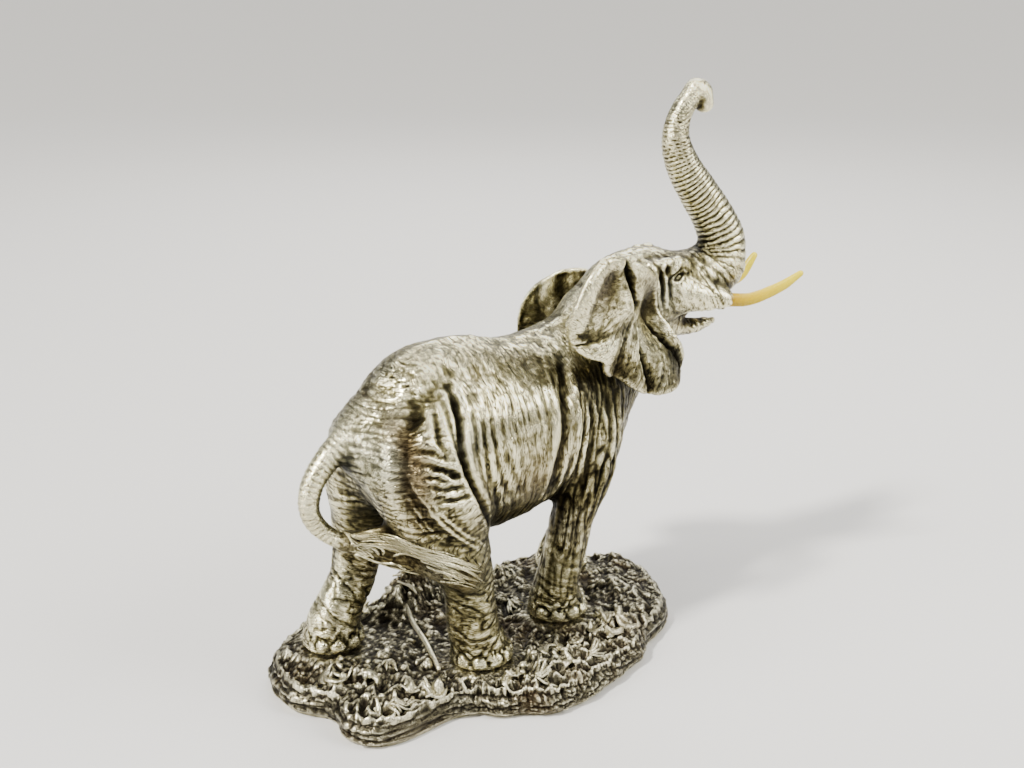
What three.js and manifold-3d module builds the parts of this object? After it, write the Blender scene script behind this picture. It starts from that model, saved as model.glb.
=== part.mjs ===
// Elephant statue: a striding elephant with its trunk raised, cast in one piece, two ivory
// coloured tusks set in sockets, and a lobed ground base that carries the four feet.
// Millimetres, +Z up. The animal is drawn walking along +X with its left side at +Y, and the
// whole group is turned at the end so that it faces -Y. Origin: middle of the base's underside.
import * as THREE from 'three';
import Module from 'manifold-3d';

const wasm = await Module();
wasm.setup();

// ---------------------------------------------------------------- driving sizes
const PITCH = 1.7;             // sampling step of the modelled form
const BODY_TRIANGLES = 6700;   // facets kept on the casting
const HEAD_PIVOT = [80, 0];    // where the head leaves the neck
const HEAD_YAW = 12;           // degrees, the head looks a little to its right
const EAR_FLARE_LEFT = 35;     // degrees, how far the left ear stands off the head
const EAR_THICK = 3.4;         // thickness of both ears
const EAR_PLEATS = 7;          // pleats across the hanging part of the right ear
const SOLE_HIND = 18;          // height of the hind soles over the underside
const SOLE_FRONT = 20;         // height of the front soles
const GAP = 0.3;               // clearance between separate pieces
const BASE_CENTRE = [8, -8];   // middle of the lobed base
const BASE_RIM = 12;           // height of the rounded rim
const BASE_SPOKES = 80;        // facets round the base
const TUSK_SIDES = 10;         // facets round a tusk
const TUSK_CLEAR = 0.35;       // clearance in a tusk socket

const rad = Math.PI / 180;
const headC = Math.cos(HEAD_YAW * rad), headS = Math.sin(HEAD_YAW * rad);
// stations of the head: forward, left, height in the head's own turned frame
const head = st => st.map(([h, b, ...r]) =>
  [HEAD_PIVOT[0] + h * headC + b * headS, HEAD_PIVOT[1] - h * headS + b * headC, ...r]);

// ---------------------------------------------------------------- the body parts
// Each part is a limb along a smooth axis: x, y, z, half width, half height per station.
// blend is the radius of the fillet that joins it to what came before it.
const LIMBS = [
  { name: 'torso', blend: 0, st: [[-55, 0, 129, 20, 16], [-46, 0, 126, 30, 29], [-31, 0, 123.5, 36, 39.5], [-10, 0, 120, 39, 46.5], [14, 0, 118, 39, 45], [38, 0, 120.5, 36, 41], [58, 0, 126, 31, 38], [74, -1, 136, 25, 31], [86, -2, 149, 20, 26]] },
  { name: 'pelvis', blend: 10, st: [[-50, 0, 142, 15, 9], [-37, 0, 149, 19, 13], [-21, 0, 152.5, 18, 15], [0, 0, 149, 15, 14]] },
  { name: 'chest', blend: 12, st: [[56, 0, 112, 27, 26], [69, 0, 114, 23, 21], [75, -1, 122, 17.5, 17.5]] },
  { name: 'neck', blend: 10, st: [[62, 0, 143, 25, 26], [78, -1, 158, 21, 25], [90, -4, 170, 19, 20]] },
  { name: 'skull', blend: 8, st: head([[-2, 0, 168, 18, 21], [12, 0, 171.5, 20, 23], [28, 0, 172, 19.5, 22], [44, 0, 173, 17.5, 17.5], [58, 0, 176, 14.5, 13.5], [70, 0, 180, 13, 12]]) },
  { name: 'jaw', blend: 6, st: head([[12, 0, 159, 15, 13], [30, 0, 155.4, 12, 9], [46, 0, 150.8, 8, 5.2], [58, 0, 149.4, 5, 3.3], [68, 0, 150.4, 2, 1.7]]) },
  { name: 'trunk', blend: 5, st: head([[62, 0, 174, 13.5, 13.5], [70, 0, 181, 13, 13], [72, 0, 192.5, 11.8, 11.8], [66, 0, 205.5, 10.5, 10.5], [56.6, 0, 219, 9.6, 9.6], [47.4, 0, 232.3, 8.4, 8.4], [42.4, 0, 245.4, 6.9, 6.9], [43.8, 0, 256.6, 5.7, 5.7], [49.6, 0, 265.4, 5.2, 5.2], [53.5, 0, 268.6, 5.2, 5.2]]) },
  { name: 'trunk_tip', blend: 2, st: head([[52.5, 0, 269, 5.4, 5.4], [56, 0, 267.6, 5.6, 5.4], [57.6, 0, 262.4, 5.2, 4.6]]) },
  { name: 'socket_right', blend: 4, st: head([[40, -11, 172, 9, 9], [54, -13.5, 168.5, 8, 8], [63, -15.2, 166.6, 6.2, 6.2]]) },
  { name: 'socket_left', blend: 4, st: head([[40, 11, 172, 9, 9], [54, 13.5, 168.5, 8, 8], [63, 15.2, 166.2, 6.2, 6.2]]) },
  { name: 'brow_right', blend: 4, st: head([[22, -13, 185.5, 4, 4], [33, -14.8, 188.3, 3.4, 3.4], [42, -12.5, 186.5, 3, 3]]) },
  { name: 'brow_left', blend: 4, st: head([[22, 13, 185.5, 4, 4], [33, 14.8, 188.3, 3.4, 3.4], [42, 12.5, 186.5, 3, 3]]) },
  { name: 'leg_front_right', blend: 9, sole: SOLE_FRONT, st: [[67.5, -17, 128, 15, 14.5], [61, -22, 112, 14, 13], [55.8, -23, 92, 12, 11.6], [48.2, -22.5, 73, 10.5, 10.3], [42.5, -22, 53, 10, 9.8], [39.5, -20.5, 38, 10.6, 10.6], [39.5, -19, 28, 12.6, 12.6], [41, -18, 19, 14.6, 14.6]] },
  { name: 'leg_front_left', blend: 9, sole: SOLE_FRONT, st: [[62, 17, 128, 15, 15], [67, 19, 107, 13.5, 12.5], [74, 19.5, 87, 11, 11], [81, 20, 67, 9.6, 9.6], [83.5, 20, 47, 9.1, 9.1], [78, 20, 34, 9.8, 9.8], [75.5, 20, 27, 11.6, 11.6], [75.5, 20, 19, 13.6, 13.6]] },
  { name: 'leg_hind_right', blend: 9, sole: SOLE_HIND, st: [[-42, -18, 122, 24, 25], [-38, -24, 106, 21.5, 23], [-31, -27, 90, 18, 19], [-26, -28, 76, 15, 15.5], [-21.5, -28, 62, 12.3, 12.3], [-19.5, -28, 50, 11.4, 11.4], [-18.4, -28, 38, 11.8, 11.8], [-15, -28, 26, 13, 13], [-13.7, -27.7, 17, 14.8, 14.8]] },
  { name: 'leg_hind_left', blend: 9, sole: SOLE_HIND, st: [[-37, 16, 119, 21, 23], [-42, 22.5, 98, 19, 20], [-44, 25.5, 82, 14.5, 14.5], [-45.5, 26, 66, 12, 12], [-50, 26, 50, 10.8, 10.8], [-56, 26, 40, 10.8, 10.8], [-61, 27, 28, 12.6, 12.6], [-61.8, 27.7, 17, 14.4, 14.4]] },
  { name: 'tail', blend: 4, st: [[-54, 0, 138, 9, 9], [-65, 0, 132.5, 7.2, 7.2], [-76, 0, 125.5, 5.8, 5.8], [-84.4, 0, 114.5, 5.1, 5.1], [-85.5, 0, 102, 4.5, 4.5], [-79, -2, 91.5, 4, 4], [-69, -7, 85.5, 3.8, 3.8], [-59, -15, 82, 4.6, 4.2], [-47, -25, 78, 6, 4], [-36, -36, 72, 6, 3]] },
];
// right tusk axis in the head's frame: forward, left, height, radius; the left one is longer to see
const TUSK = [[57, -14.2, 167.4, 3.9], [64, -16, 166.5, 3.7], [77.3, -20, 166, 3.2], [91.6, -25, 171.9, 2.3], [101, -28.6, 179, 0.8]];
const TUSK_LEFT = [[57, 14.2, 167, 3.9], [64, 16, 165.9, 3.7], [78, 19, 164, 3.2], [96, 23, 168, 2.3], [111, 25, 176.5, 0.8]];
// ears: polar outline radii at equal angles, from straight ahead and up over the top
const EARS = [
  { name: 'ear_right', blend: 3, centre: [66, -35, 168], dir: [1, 0], radii: [26, 28, 29, 33, 43.3, 42, 35, 27, 25, 29, 42, 43.5] },
  { name: 'ear_left', blend: 3, radii: [26, 25.5, 26, 28.5, 31, 29, 27, 28, 30, 32, 30, 28] },
];
{ // the left ear stands out from the head: its plane runs backward and outward
  const a = EAR_FLARE_LEFT * rad, ca = Math.cos(a), sa = Math.sin(a);
  const d = [-ca * headC + sa * headS, ca * headS + sa * headC];
  EARS[1].dir = d;
  EARS[1].centre = [98 + d[0] * 17.5, 16.4 + d[1] * 17.5, 150];
}
// base: distance of the lobed edge from its middle at equal angles, from the front round by the left
const BASE_EDGE = [109, 111, 102, 91, 80, 70, 63, 59, 58, 60, 66, 80, 96, 107, 110, 107, 96, 99, 91, 64, 56, 56, 59, 61, 63, 64, 65, 67, 76, 78, 92, 103];
// stones, clods and tufts on the ground: x, y, height, half length, half width
const MOUNDS = [[-4, 41, 16, 16, 11], [-20, 36, 7, 12, 9], [106, 12, 4, 9, 8], [-60, -6, 3, 14, 9], [14, -52, 3.5, 13, 8], [62, -46, 4, 12, 8], [84, -18, 4, 9, 12], [-80, 34, 4, 8, 10], [10, 10, 3, 22, 12], [-36, -6, 2.5, 10, 10], [46, 28, 4, 14, 9], [70, 42, 3.5, 12, 7], [-70, 10, 3, 9, 8], [20, 40, 3, 12, 8]];
const FEET = [[41, -18, SOLE_FRONT, 15.2], [75.5, 20, SOLE_FRONT, 14.4], [-13.7, -27.7, SOLE_HIND, 15.4], [-61.8, 27.7, SOLE_HIND, 15]];

// ---------------------------------------------------------------- smooth curves
const cubic = (a, b, c, d, t) => 0.5 * (2 * b + (c - a) * t + (2 * a - 5 * b + 4 * c - d) * t * t + (3 * b - a - 3 * c + d) * t * t * t);
function resample(st, n) {
  const first = st[0].map((v, i) => 2 * v - st[1][i]);
  const m = st.length - 1, last = st[m].map((v, i) => 2 * v - st[m - 1][i]);
  const q = [first, ...st, last], out = [];
  for (let i = 1; i < q.length - 2; i++) {
    for (let j = 0; j < n; j++) out.push(q[i].map((_, k) => cubic(q[i - 1][k], q[i][k], q[i + 1][k], q[i + 2][k], j / n)));
  }
  out.push(st[m].slice());
  return out;
}
const periodic = (list, turn) => {
  const n = list.length, x = (((turn % 1) + 1) % 1) * n, i = Math.floor(x), t = x - i;
  return cubic(list[(i + n - 1) % n], list[i % n], list[(i + 1) % n], list[(i + 2) % n], t);
};

// ---------------------------------------------------------------- limbs as distance fields
class Limb {
  constructor({ blend, st, sole }) {
    this.blend = blend;
    this.sole = sole ?? -1e9;
    this.c = resample(st, 5);
    const m = this.c.length;
    this.f = this.c.map((p, i) => {
      const a = this.c[Math.max(i - 1, 0)], b = this.c[Math.min(i + 1, m - 1)];
      const t = new THREE.Vector3(b[0] - a[0], b[1] - a[1], b[2] - a[2]).normalize();
      const s = new THREE.Vector3(0, 1, 0).addScaledVector(t, -t.y).normalize();
      const n = new THREE.Vector3().crossVectors(t, s);
      return [t, s, n];
    });
    this.lo = [0, 1, 2].map(k => Math.min(...this.c.map(p => p[k] - Math.max(p[3], p[4]))));
    this.hi = [0, 1, 2].map(k => Math.max(...this.c.map(p => p[k] + Math.max(p[3], p[4]))));
  }
  at(x, y, z) {
    const c = this.c;
    let best = 1e18, bi = 0, bt = 0;
    for (let i = 0; i < c.length - 1; i++) {
      const a = c[i], b = c[i + 1];
      const dx = b[0] - a[0], dy = b[1] - a[1], dz = b[2] - a[2];
      const vx = x - a[0], vy = y - a[1], vz = z - a[2];
      let t = (vx * dx + vy * dy + vz * dz) / (dx * dx + dy * dy + dz * dz);
      t = t < 0 ? 0 : t > 1 ? 1 : t;
      const ex = vx - t * dx, ey = vy - t * dy, ez = vz - t * dz, q = ex * ex + ey * ey + ez * ez;
      if (q < best) { best = q; bi = i; bt = t; }
    }
    const p = c[bi], r = c[bi + 1], u = 1 - bt;
    const vx = x - p[0] * u - r[0] * bt, vy = y - p[1] * u - r[1] * bt, vz = z - p[2] * u - r[2] * bt;
    const dot = k => {
      const a = this.f[bi][k], b = this.f[bi + 1][k];
      return vx * (a.x * u + b.x * bt) + vy * (a.y * u + b.y * bt) + vz * (a.z * u + b.z * bt);
    };
    const e = dot(0), a = dot(1), b = dot(2);
    const ra = p[3] * u + r[3] * bt, rb = p[4] * u + r[4] * bt, rc = Math.min(ra, rb);
    const q = Math.sqrt((a / ra) ** 2 + (b / rb) ** 2 + (e / rc) ** 2) + 1e-9;
    const d = Math.sqrt(a * a + b * b + e * e) * (1 - 1 / q);
    return Math.max(d, this.sole - z);
  }
}

// ---------------------------------------------------------------- ears as curved sheets
// u forward (right) or backward (left), w up, height across the ear's own plane
const bump = (u, w, u0, w0, su, sw) => Math.exp(-(((u - u0) / su) ** 2) - (((w - w0) / sw) ** 2));
const EAR_FORM = {
  // upper lobe bulges out round a hollow, pleats fan down from a pinch beside the cheek
  ear_right: (u, w) => {
    const pu = u - 8, pw = w - 4, r = Math.hypot(pu, pw), a = Math.atan2(pw, pu);
    const down = Math.min(Math.max((-pw - 1) / 9, 0), 1);
    const fan = Math.cos(a * EAR_PLEATS + 0.6) * Math.min(r / 26, 1.35) * down;
    return 3 + 6.5 * bump(u, w, -14, 20, 19, 21) - 4.2 * bump(u, w, -10, 22, 9, 12) + 3.2 * fan
      - 13 * bump(u, w, 20, 4, 13, 15) + 4 * Math.min(Math.max(-w - 14, 0) / 26, 1) * Math.min(Math.max(-w - 14, 0) / 26, 1);
  },
  // cupped, with one fold that runs up the back
  ear_left: (u, w, q) => 4 * (1 - Math.min(q, 1.2) ** 2) + 1.6 * Math.cos(u * 0.36 + w * 0.05) * Math.min(Math.max(q - 0.3, 0), 1) - 2.4 * bump(u, 0, 8, 0, 2.4, 1),
};
class Ear {
  constructor({ name, blend, centre, dir, radii }) {
    const l = Math.hypot(...dir);
    Object.assign(this, { blend, centre, radii, form: EAR_FORM[name] });
    this.eu = [dir[0] / l, dir[1] / l];
    this.en = [this.eu[1], -this.eu[0]];
    const m = Math.max(...radii) + 8;
    this.lo = [centre[0] - Math.abs(this.eu[0]) * m - 12, centre[1] - Math.abs(this.eu[1]) * m - 16, centre[2] - m];
    this.hi = [centre[0] + Math.abs(this.eu[0]) * m + 12, centre[1] + Math.abs(this.eu[1]) * m + 16, centre[2] + m];
  }
  edge(u, w) { return periodic(this.radii, Math.atan2(w, u) / (2 * Math.PI)); }
  height(u, w) { return this.form(u, w, Math.hypot(u, w) / this.edge(u, w)); }
  at(x, y, z) {
    const vx = x - this.centre[0], vy = y - this.centre[1], w = z - this.centre[2];
    const u = vx * this.eu[0] + vy * this.eu[1], n = vx * this.en[0] + vy * this.en[1];
    const r = Math.hypot(u, w) + 1e-6, R = this.edge(u, w), h = this.height(u, w), e = 0.7;
    const hu = (this.height(u + e, w) - h) / e, hw = (this.height(u, w + e) - h) / e;
    const g = Math.sqrt(1 + Math.min(hu * hu + hw * hw, 4));
    const t = EAR_THICK * (1 + 0.35 * Math.min(Math.max(1 - r / R, 0), 1));
    const a = Math.abs(n - h) / g - t / 2 + 1.2, b = (r - R) * 0.8 + 1.2;
    return Math.min(Math.max(a, b), 0) + Math.hypot(Math.max(a, 0), Math.max(b, 0)) - 1.2;
  }
}

const smooth = (a, b, k) => {
  const h = k > 0 ? Math.max(k - Math.abs(a - b), 0) / k : 0;
  return Math.min(a, b) - h * h * k * 0.25;
};
const FORMS = [...LIMBS.map(l => new Limb(l)), ...EARS.map(e => new Ear(e))];

// ---------------------------------------------------------------- sampling the form on a grid
function sample(forms, lo, hi, step) {
  const B = 6, nb = [0, 1, 2].map(k => Math.ceil((hi[k] - lo[k]) / (step * B)));
  const n = nb.map(v => v * B + 1), g = new Float32Array(n[0] * n[1] * n[2]).fill(1);
  const reach = step * B * Math.sqrt(3) / 2;
  for (let a = 0; a < nb[0]; a++) for (let b = 0; b < nb[1]; b++) for (let c = 0; c < nb[2]; c++) {
    const o = [a * B, b * B, c * B], m = [0, 1, 2].map(k => lo[k] + (o[k] + B / 2) * step);
    const near = forms.filter(f => m.every((v, k) => v > f.lo[k] - reach - 12 && v < f.hi[k] + reach + 12));
    let mid = 1e3;
    const vals = near.map(f => f.at(...m));
    vals.forEach((v, i) => { mid = i ? smooth(mid, v, near[i].blend) : v; });
    const close = near.filter((f, i) => vals[i] < Math.max(mid, 0) + 3 * reach + f.blend + 2);
    const far = Math.abs(mid) > reach * 1.6 + 2;
    for (let i = 0; i <= B; i++) for (let j = 0; j <= B; j++) for (let k = 0; k <= B; k++) {
      const at = ((o[0] + i) * n[1] + o[1] + j) * n[2] + o[2] + k;
      if (far) { g[at] = mid < 0 ? -1 : 1; continue; }
      const x = lo[0] + (o[0] + i) * step, y = lo[1] + (o[1] + j) * step, z = lo[2] + (o[2] + k) * step;
      let v = 1e3;
      close.forEach((f, q) => { const d = f.at(x, y, z); v = q ? smooth(v, d, f.blend) : d; });
      g[at] = v;
    }
  }
  return { g, n, lo, step };
}

// fills the grid faces and cells where two sheets would share one vertex
function settle(grid) {
  const { g, n } = grid, [nx, ny, nz] = n, D = [ny * nz, nz, 1];
  for (let pass = 0, changed = true; changed && pass < 12; pass++) {
    changed = false;
    for (let i = 0; i < nx - 1; i++) for (let j = 0; j < ny - 1; j++) for (let k = 0; k < nz - 1; k++) {
      const at = (i * ny + j) * nz + k;
      for (let q = 0; q < 3; q++) {
        const u = D[(q + 1) % 3], w = D[(q + 2) % 3], a = g[at] < 0, b = g[at + u] < 0, c = g[at + w] < 0, d = g[at + u + w] < 0;
        if (a !== d || b !== c || a === b) continue;
        const s = a ? [at + u, at + w] : [at, at + u + w];
        g[g[s[0]] < g[s[1]] ? s[0] : s[1]] = -0.02;
        changed = true;
      }
      const all = [0, D[0], D[1], D[0] + D[1], D[2], D[0] + D[2], D[1] + D[2], D[0] + D[1] + D[2]].map(o => at + o);
      for (let c = 0; c < 4; c++) {
        const same = all.filter((o, q) => q !== c && q !== 7 - c), pair = [all[c], all[7 - c]];
        if (pair.every(o => g[o] < 0) && same.every(o => g[o] >= 0)) { g[all[c ^ 1]] = -0.02; g[all[c ^ 3]] = -0.02; changed = true; }
        if (pair.every(o => g[o] >= 0) && same.every(o => g[o] < 0)) { g[pair[0]] = -0.02; changed = true; }
      }
    }
  }
  return grid;
}

// one vertex in each cell that the surface crosses, one quad across each crossed edge
function skin({ g, n, lo, step }) {
  const [nx, ny, nz] = n, ix = (i, j, k) => (i * ny + j) * nz + k;
  const id = new Int32Array(nx * ny * nz).fill(-1), pos = [];
  const C = [[0, 0, 0], [1, 0, 0], [0, 1, 0], [1, 1, 0], [0, 0, 1], [1, 0, 1], [0, 1, 1], [1, 1, 1]];
  const E = [[0, 1], [2, 3], [4, 5], [6, 7], [0, 2], [1, 3], [4, 6], [5, 7], [0, 4], [1, 5], [2, 6], [3, 7]];
  for (let i = 0; i < nx - 1; i++) for (let j = 0; j < ny - 1; j++) for (let k = 0; k < nz - 1; k++) {
    const v = C.map(c => g[ix(i + c[0], j + c[1], k + c[2])]);
    const neg = v.filter(q => q < 0).length;
    if (!neg || neg === 8) continue;
    let s = [0, 0, 0], m = 0;
    for (const [a, b] of E) {
      if ((v[a] < 0) === (v[b] < 0)) continue;
      const t = v[a] / (v[a] - v[b]);
      for (let q = 0; q < 3; q++) s[q] += C[a][q] + (C[b][q] - C[a][q]) * t;
      m++;
    }
    id[ix(i, j, k)] = pos.length / 3;
    pos.push(lo[0] + (i + s[0] / m) * step, lo[1] + (j + s[1] / m) * step, lo[2] + (k + s[2] / m) * step);
  }
  const tri = [];
  const D = [[1, 0, 0], [0, 1, 0], [0, 0, 1]];
  for (let i = 1; i < nx - 1; i++) for (let j = 1; j < ny - 1; j++) for (let k = 1; k < nz - 1; k++) {
    const a = g[ix(i, j, k)] < 0;
    for (let q = 0; q < 3; q++) {
      const d = D[q], b = g[ix(i + d[0], j + d[1], k + d[2])] < 0;
      if (a === b) continue;
      const u = D[(q + 1) % 3], w = D[(q + 2) % 3];
      const at = (s, t) => id[ix(i - s * u[0] - t * w[0], j - s * u[1] - t * w[1], k - s * u[2] - t * w[2])];
      const p = [at(1, 1), at(0, 1), at(0, 0), at(1, 0)];
      if (!a) p.reverse();
      tri.push(p[0], p[1], p[2], p[0], p[2], p[3]);
    }
  }
  return { pos, tri };
}

// ---------------------------------------------------------------- merging small facets
// Collapses the cheapest edge again and again, by the summed squared distance to the planes.
function simplify({ pos, tri }, target) {
  const nv = pos.length / 3, P = Float64Array.from(pos), T = Int32Array.from(tri), Q = new Float64Array(nv * 10);
  const alive = new Uint8Array(T.length / 3).fill(1), at = Array.from({ length: nv }, () => []);
  const stamp = new Int32Array(nv);
  const normal = (a, b, c) => {
    const ux = P[b * 3] - P[a * 3], uy = P[b * 3 + 1] - P[a * 3 + 1], uz = P[b * 3 + 2] - P[a * 3 + 2];
    const vx = P[c * 3] - P[a * 3], vy = P[c * 3 + 1] - P[a * 3 + 1], vz = P[c * 3 + 2] - P[a * 3 + 2];
    return [uy * vz - uz * vy, uz * vx - ux * vz, ux * vy - uy * vx];
  };
  for (let t = 0; t < T.length / 3; t++) {
    const v = [T[t * 3], T[t * 3 + 1], T[t * 3 + 2]], n = normal(...v), l = Math.hypot(...n) || 1;
    const [x, y, z] = n.map(q => q / l), d = -(x * P[v[0] * 3] + y * P[v[0] * 3 + 1] + z * P[v[0] * 3 + 2]), w = l;
    for (const i of v) {
      at[i].push(t);
      [x * x, x * y, x * z, x * d, y * y, y * z, y * d, z * z, z * d, d * d].forEach((q, k) => { Q[i * 10 + k] += q * w; });
    }
  }
  const cost = (q, x, y, z) => q[0] * x * x + 2 * q[1] * x * y + 2 * q[2] * x * z + 2 * q[3] * x + q[4] * y * y + 2 * q[5] * y * z + 2 * q[6] * y + q[7] * z * z + 2 * q[8] * z + q[9];
  const plan = (a, b) => {
    const q = [];
    for (let k = 0; k < 10; k++) q.push(Q[a * 10 + k] + Q[b * 10 + k]);
    const A = [P[a * 3], P[a * 3 + 1], P[a * 3 + 2]], B = [P[b * 3], P[b * 3 + 1], P[b * 3 + 2]];
    const M = A.map((v, k) => (v + B[k]) / 2), len = Math.hypot(A[0] - B[0], A[1] - B[1], A[2] - B[2]);
    const det = q[0] * (q[4] * q[7] - q[5] * q[5]) - q[1] * (q[1] * q[7] - q[5] * q[2]) + q[2] * (q[1] * q[5] - q[4] * q[2]);
    const options = [M, A, B];
    if (Math.abs(det) > 1e-6) {
      const r = [-q[3], -q[6], -q[8]];
      const x = (r[0] * (q[4] * q[7] - q[5] * q[5]) - q[1] * (r[1] * q[7] - q[5] * r[2]) + q[2] * (r[1] * q[5] - q[4] * r[2])) / det;
      const y = (q[0] * (r[1] * q[7] - q[5] * r[2]) - r[0] * (q[1] * q[7] - q[5] * q[2]) + q[2] * (q[1] * r[2] - r[1] * q[2])) / det;
      const z = (q[0] * (q[4] * r[2] - r[1] * q[5]) - q[1] * (q[1] * r[2] - r[1] * q[2]) + r[0] * (q[1] * q[5] - q[4] * q[2])) / det;
      if (Math.hypot(x - M[0], y - M[1], z - M[2]) < len) options.unshift([x, y, z]);
    }
    let best = null, c = 1e300;
    for (const o of options) { const v = cost(q, ...o) + len * len * 0.02; if (v < c) { c = v; best = o; } }
    return [c, best];
  };
  const heap = [];
  const less = (i, j) => heap[i][0] < heap[j][0];
  const swap = (i, j) => { const t = heap[i]; heap[i] = heap[j]; heap[j] = t; };
  const push = e => { heap.push(e); let i = heap.length - 1; while (i) { const p = (i - 1) >> 1; if (!less(i, p)) break; swap(i, p); i = p; } };
  const pop = () => {
    const top = heap[0], e = heap.pop();
    if (heap.length) {
      heap[0] = e; let i = 0;
      for (;;) { let c = 2 * i + 1; if (c >= heap.length) break; if (c + 1 < heap.length && less(c + 1, c)) c++; if (!less(c, i)) break; swap(i, c); i = c; }
    }
    return top;
  };
  const queue = (a, b) => { const [c, p] = plan(a, b); push([c, a, b, stamp[a], stamp[b], p]); };
  for (let t = 0; t < T.length; t += 3) for (let k = 0; k < 3; k++) { const a = T[t + k], b = T[t + (k + 1) % 3]; if (a < b) queue(a, b); }
  const ring = v => { const s = new Set(); for (const t of at[v]) if (alive[t]) for (let k = 0; k < 3; k++) if (T[t * 3 + k] !== v) s.add(T[t * 3 + k]); return s; };
  let count = T.length / 3;
  while (count > target && heap.length) {
    const [, a, b, sa, sb, p] = pop();
    if (stamp[a] !== sa || stamp[b] !== sb) continue;
    const ra = ring(a), rb = ring(b);
    let shared = 0;
    for (const v of ra) if (rb.has(v)) shared++;
    if (shared !== 2) continue;
    let ok = true;
    for (const v of [a, b]) for (const t of at[v]) {
      if (!alive[t]) continue;
      const i = [T[t * 3], T[t * 3 + 1], T[t * 3 + 2]];
      if (i.includes(a) && i.includes(b)) continue;
      const o = normal(...i), keep = [P[v * 3], P[v * 3 + 1], P[v * 3 + 2]];
      const longest = () => {
        let l = 0;
        for (let k = 0; k < 3; k++) { const s = i[k], e = i[(k + 1) % 3]; l = Math.max(l, (P[s * 3] - P[e * 3]) ** 2 + (P[s * 3 + 1] - P[e * 3 + 1]) ** 2 + (P[s * 3 + 2] - P[e * 3 + 2]) ** 2); }
        return l;
      };
      const before = longest();
      for (let k = 0; k < 3; k++) P[v * 3 + k] = p[k];
      const m = normal(...i), after = longest();
      for (let k = 0; k < 3; k++) P[v * 3 + k] = keep[k];
      const lo = Math.hypot(...o), lm = Math.hypot(...m), sliver = lo < 0.02 * before;
      if (lm < Math.min(0.12 * after, 0.9 * lo * after / before)) { ok = false; break; }
      if (!sliver && o[0] * m[0] + o[1] * m[1] + o[2] * m[2] < 0.35 * lo * lm) { ok = false; break; }
    }
    if (!ok) continue;
    for (let k = 0; k < 3; k++) P[a * 3 + k] = p[k];
    for (let k = 0; k < 10; k++) Q[a * 10 + k] += Q[b * 10 + k];
    for (const t of at[b]) {
      if (!alive[t]) continue;
      const i = [T[t * 3], T[t * 3 + 1], T[t * 3 + 2]];
      if (i.includes(a)) { alive[t] = 0; count--; continue; }
      for (let k = 0; k < 3; k++) if (T[t * 3 + k] === b) T[t * 3 + k] = a;
      at[a].push(t);
    }
    at[b] = [];
    at[a] = at[a].filter(t => alive[t]);
    stamp[a]++; stamp[b] = -1;
    for (const v of ring(a)) queue(Math.min(a, v), Math.max(a, v));
  }
  const used = new Int32Array(nv).fill(-1), out = [], faces = [];
  for (let t = 0; t < T.length / 3; t++) {
    if (!alive[t]) continue;
    for (let k = 0; k < 3; k++) {
      const v = T[t * 3 + k];
      if (used[v] < 0) { used[v] = out.length / 3; out.push(P[v * 3], P[v * 3 + 1], P[v * 3 + 2]); }
      faces.push(used[v]);
    }
  }
  return { pos: out, tri: faces };
}

// ---------------------------------------------------------------- solids
const solid = ({ pos, tri }) => new wasm.Manifold(new wasm.Mesh({ numProp: 3, vertProperties: new Float32Array(pos), triVerts: new Uint32Array(tri) }));
function geometry({ pos, tri }) {
  const g = new THREE.BufferGeometry();
  g.setAttribute('position', new THREE.Float32BufferAttribute(pos, 3));
  g.setIndex(Array.from(tri));
  g.computeVertexNormals();
  return g;
}
const unwrap = m => { const k = m.getMesh(); return { pos: Array.from(k.vertProperties), tri: Array.from(k.triVerts) }; };

// a round bar along an axis, closed by fans, grown by a clearance
function bar(stations, sides, grow) {
  const c = resample(stations, 2), pos = [], tri = [], m = c.length;
  c.forEach((p, i) => {
    const a = c[Math.max(i - 1, 0)], b = c[Math.min(i + 1, m - 1)];
    const t = new THREE.Vector3(b[0] - a[0], b[1] - a[1], b[2] - a[2]).normalize();
    const s = new THREE.Vector3(0, 0, 1).addScaledVector(t, -t.z).normalize(), n = new THREE.Vector3().crossVectors(t, s);
    for (let j = 0; j < sides; j++) {
      const q = 2 * Math.PI * j / sides, r = p[3] + grow, cs = Math.cos(q) * r, sn = Math.sin(q) * r;
      const shift = i === 0 ? -grow : 0;
      pos.push(p[0] + s.x * cs + n.x * sn + t.x * shift, p[1] + s.y * cs + n.y * sn + t.y * shift, p[2] + s.z * cs + n.z * sn + t.z * shift);
    }
  });
  const t0 = new THREE.Vector3(c[1][0] - c[0][0], c[1][1] - c[0][1], c[1][2] - c[0][2]).normalize();
  const t1 = new THREE.Vector3(c[m - 1][0] - c[m - 2][0], c[m - 1][1] - c[m - 2][1], c[m - 1][2] - c[m - 2][2]).normalize();
  const A = pos.length / 3, B = A + 1, e = c[m - 1], tip = e[3] * 0.8 + grow;
  pos.push(c[0][0] - t0.x * grow, c[0][1] - t0.y * grow, c[0][2] - t0.z * grow, e[0] + t1.x * tip, e[1] + t1.y * tip, e[2] + t1.z * tip);
  for (let i = 0; i < m - 1; i++) for (let j = 0; j < sides; j++) {
    const k = (j + 1) % sides, a = i * sides + j, b = i * sides + k, d = a + sides, f = b + sides;
    tri.push(a, b, f, a, f, d);
  }
  for (let j = 0; j < sides; j++) { const k = (j + 1) % sides; tri.push(A, k, j, B, (m - 1) * sides + j, (m - 1) * sides + k); }
  return { pos, tri };
}

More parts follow.
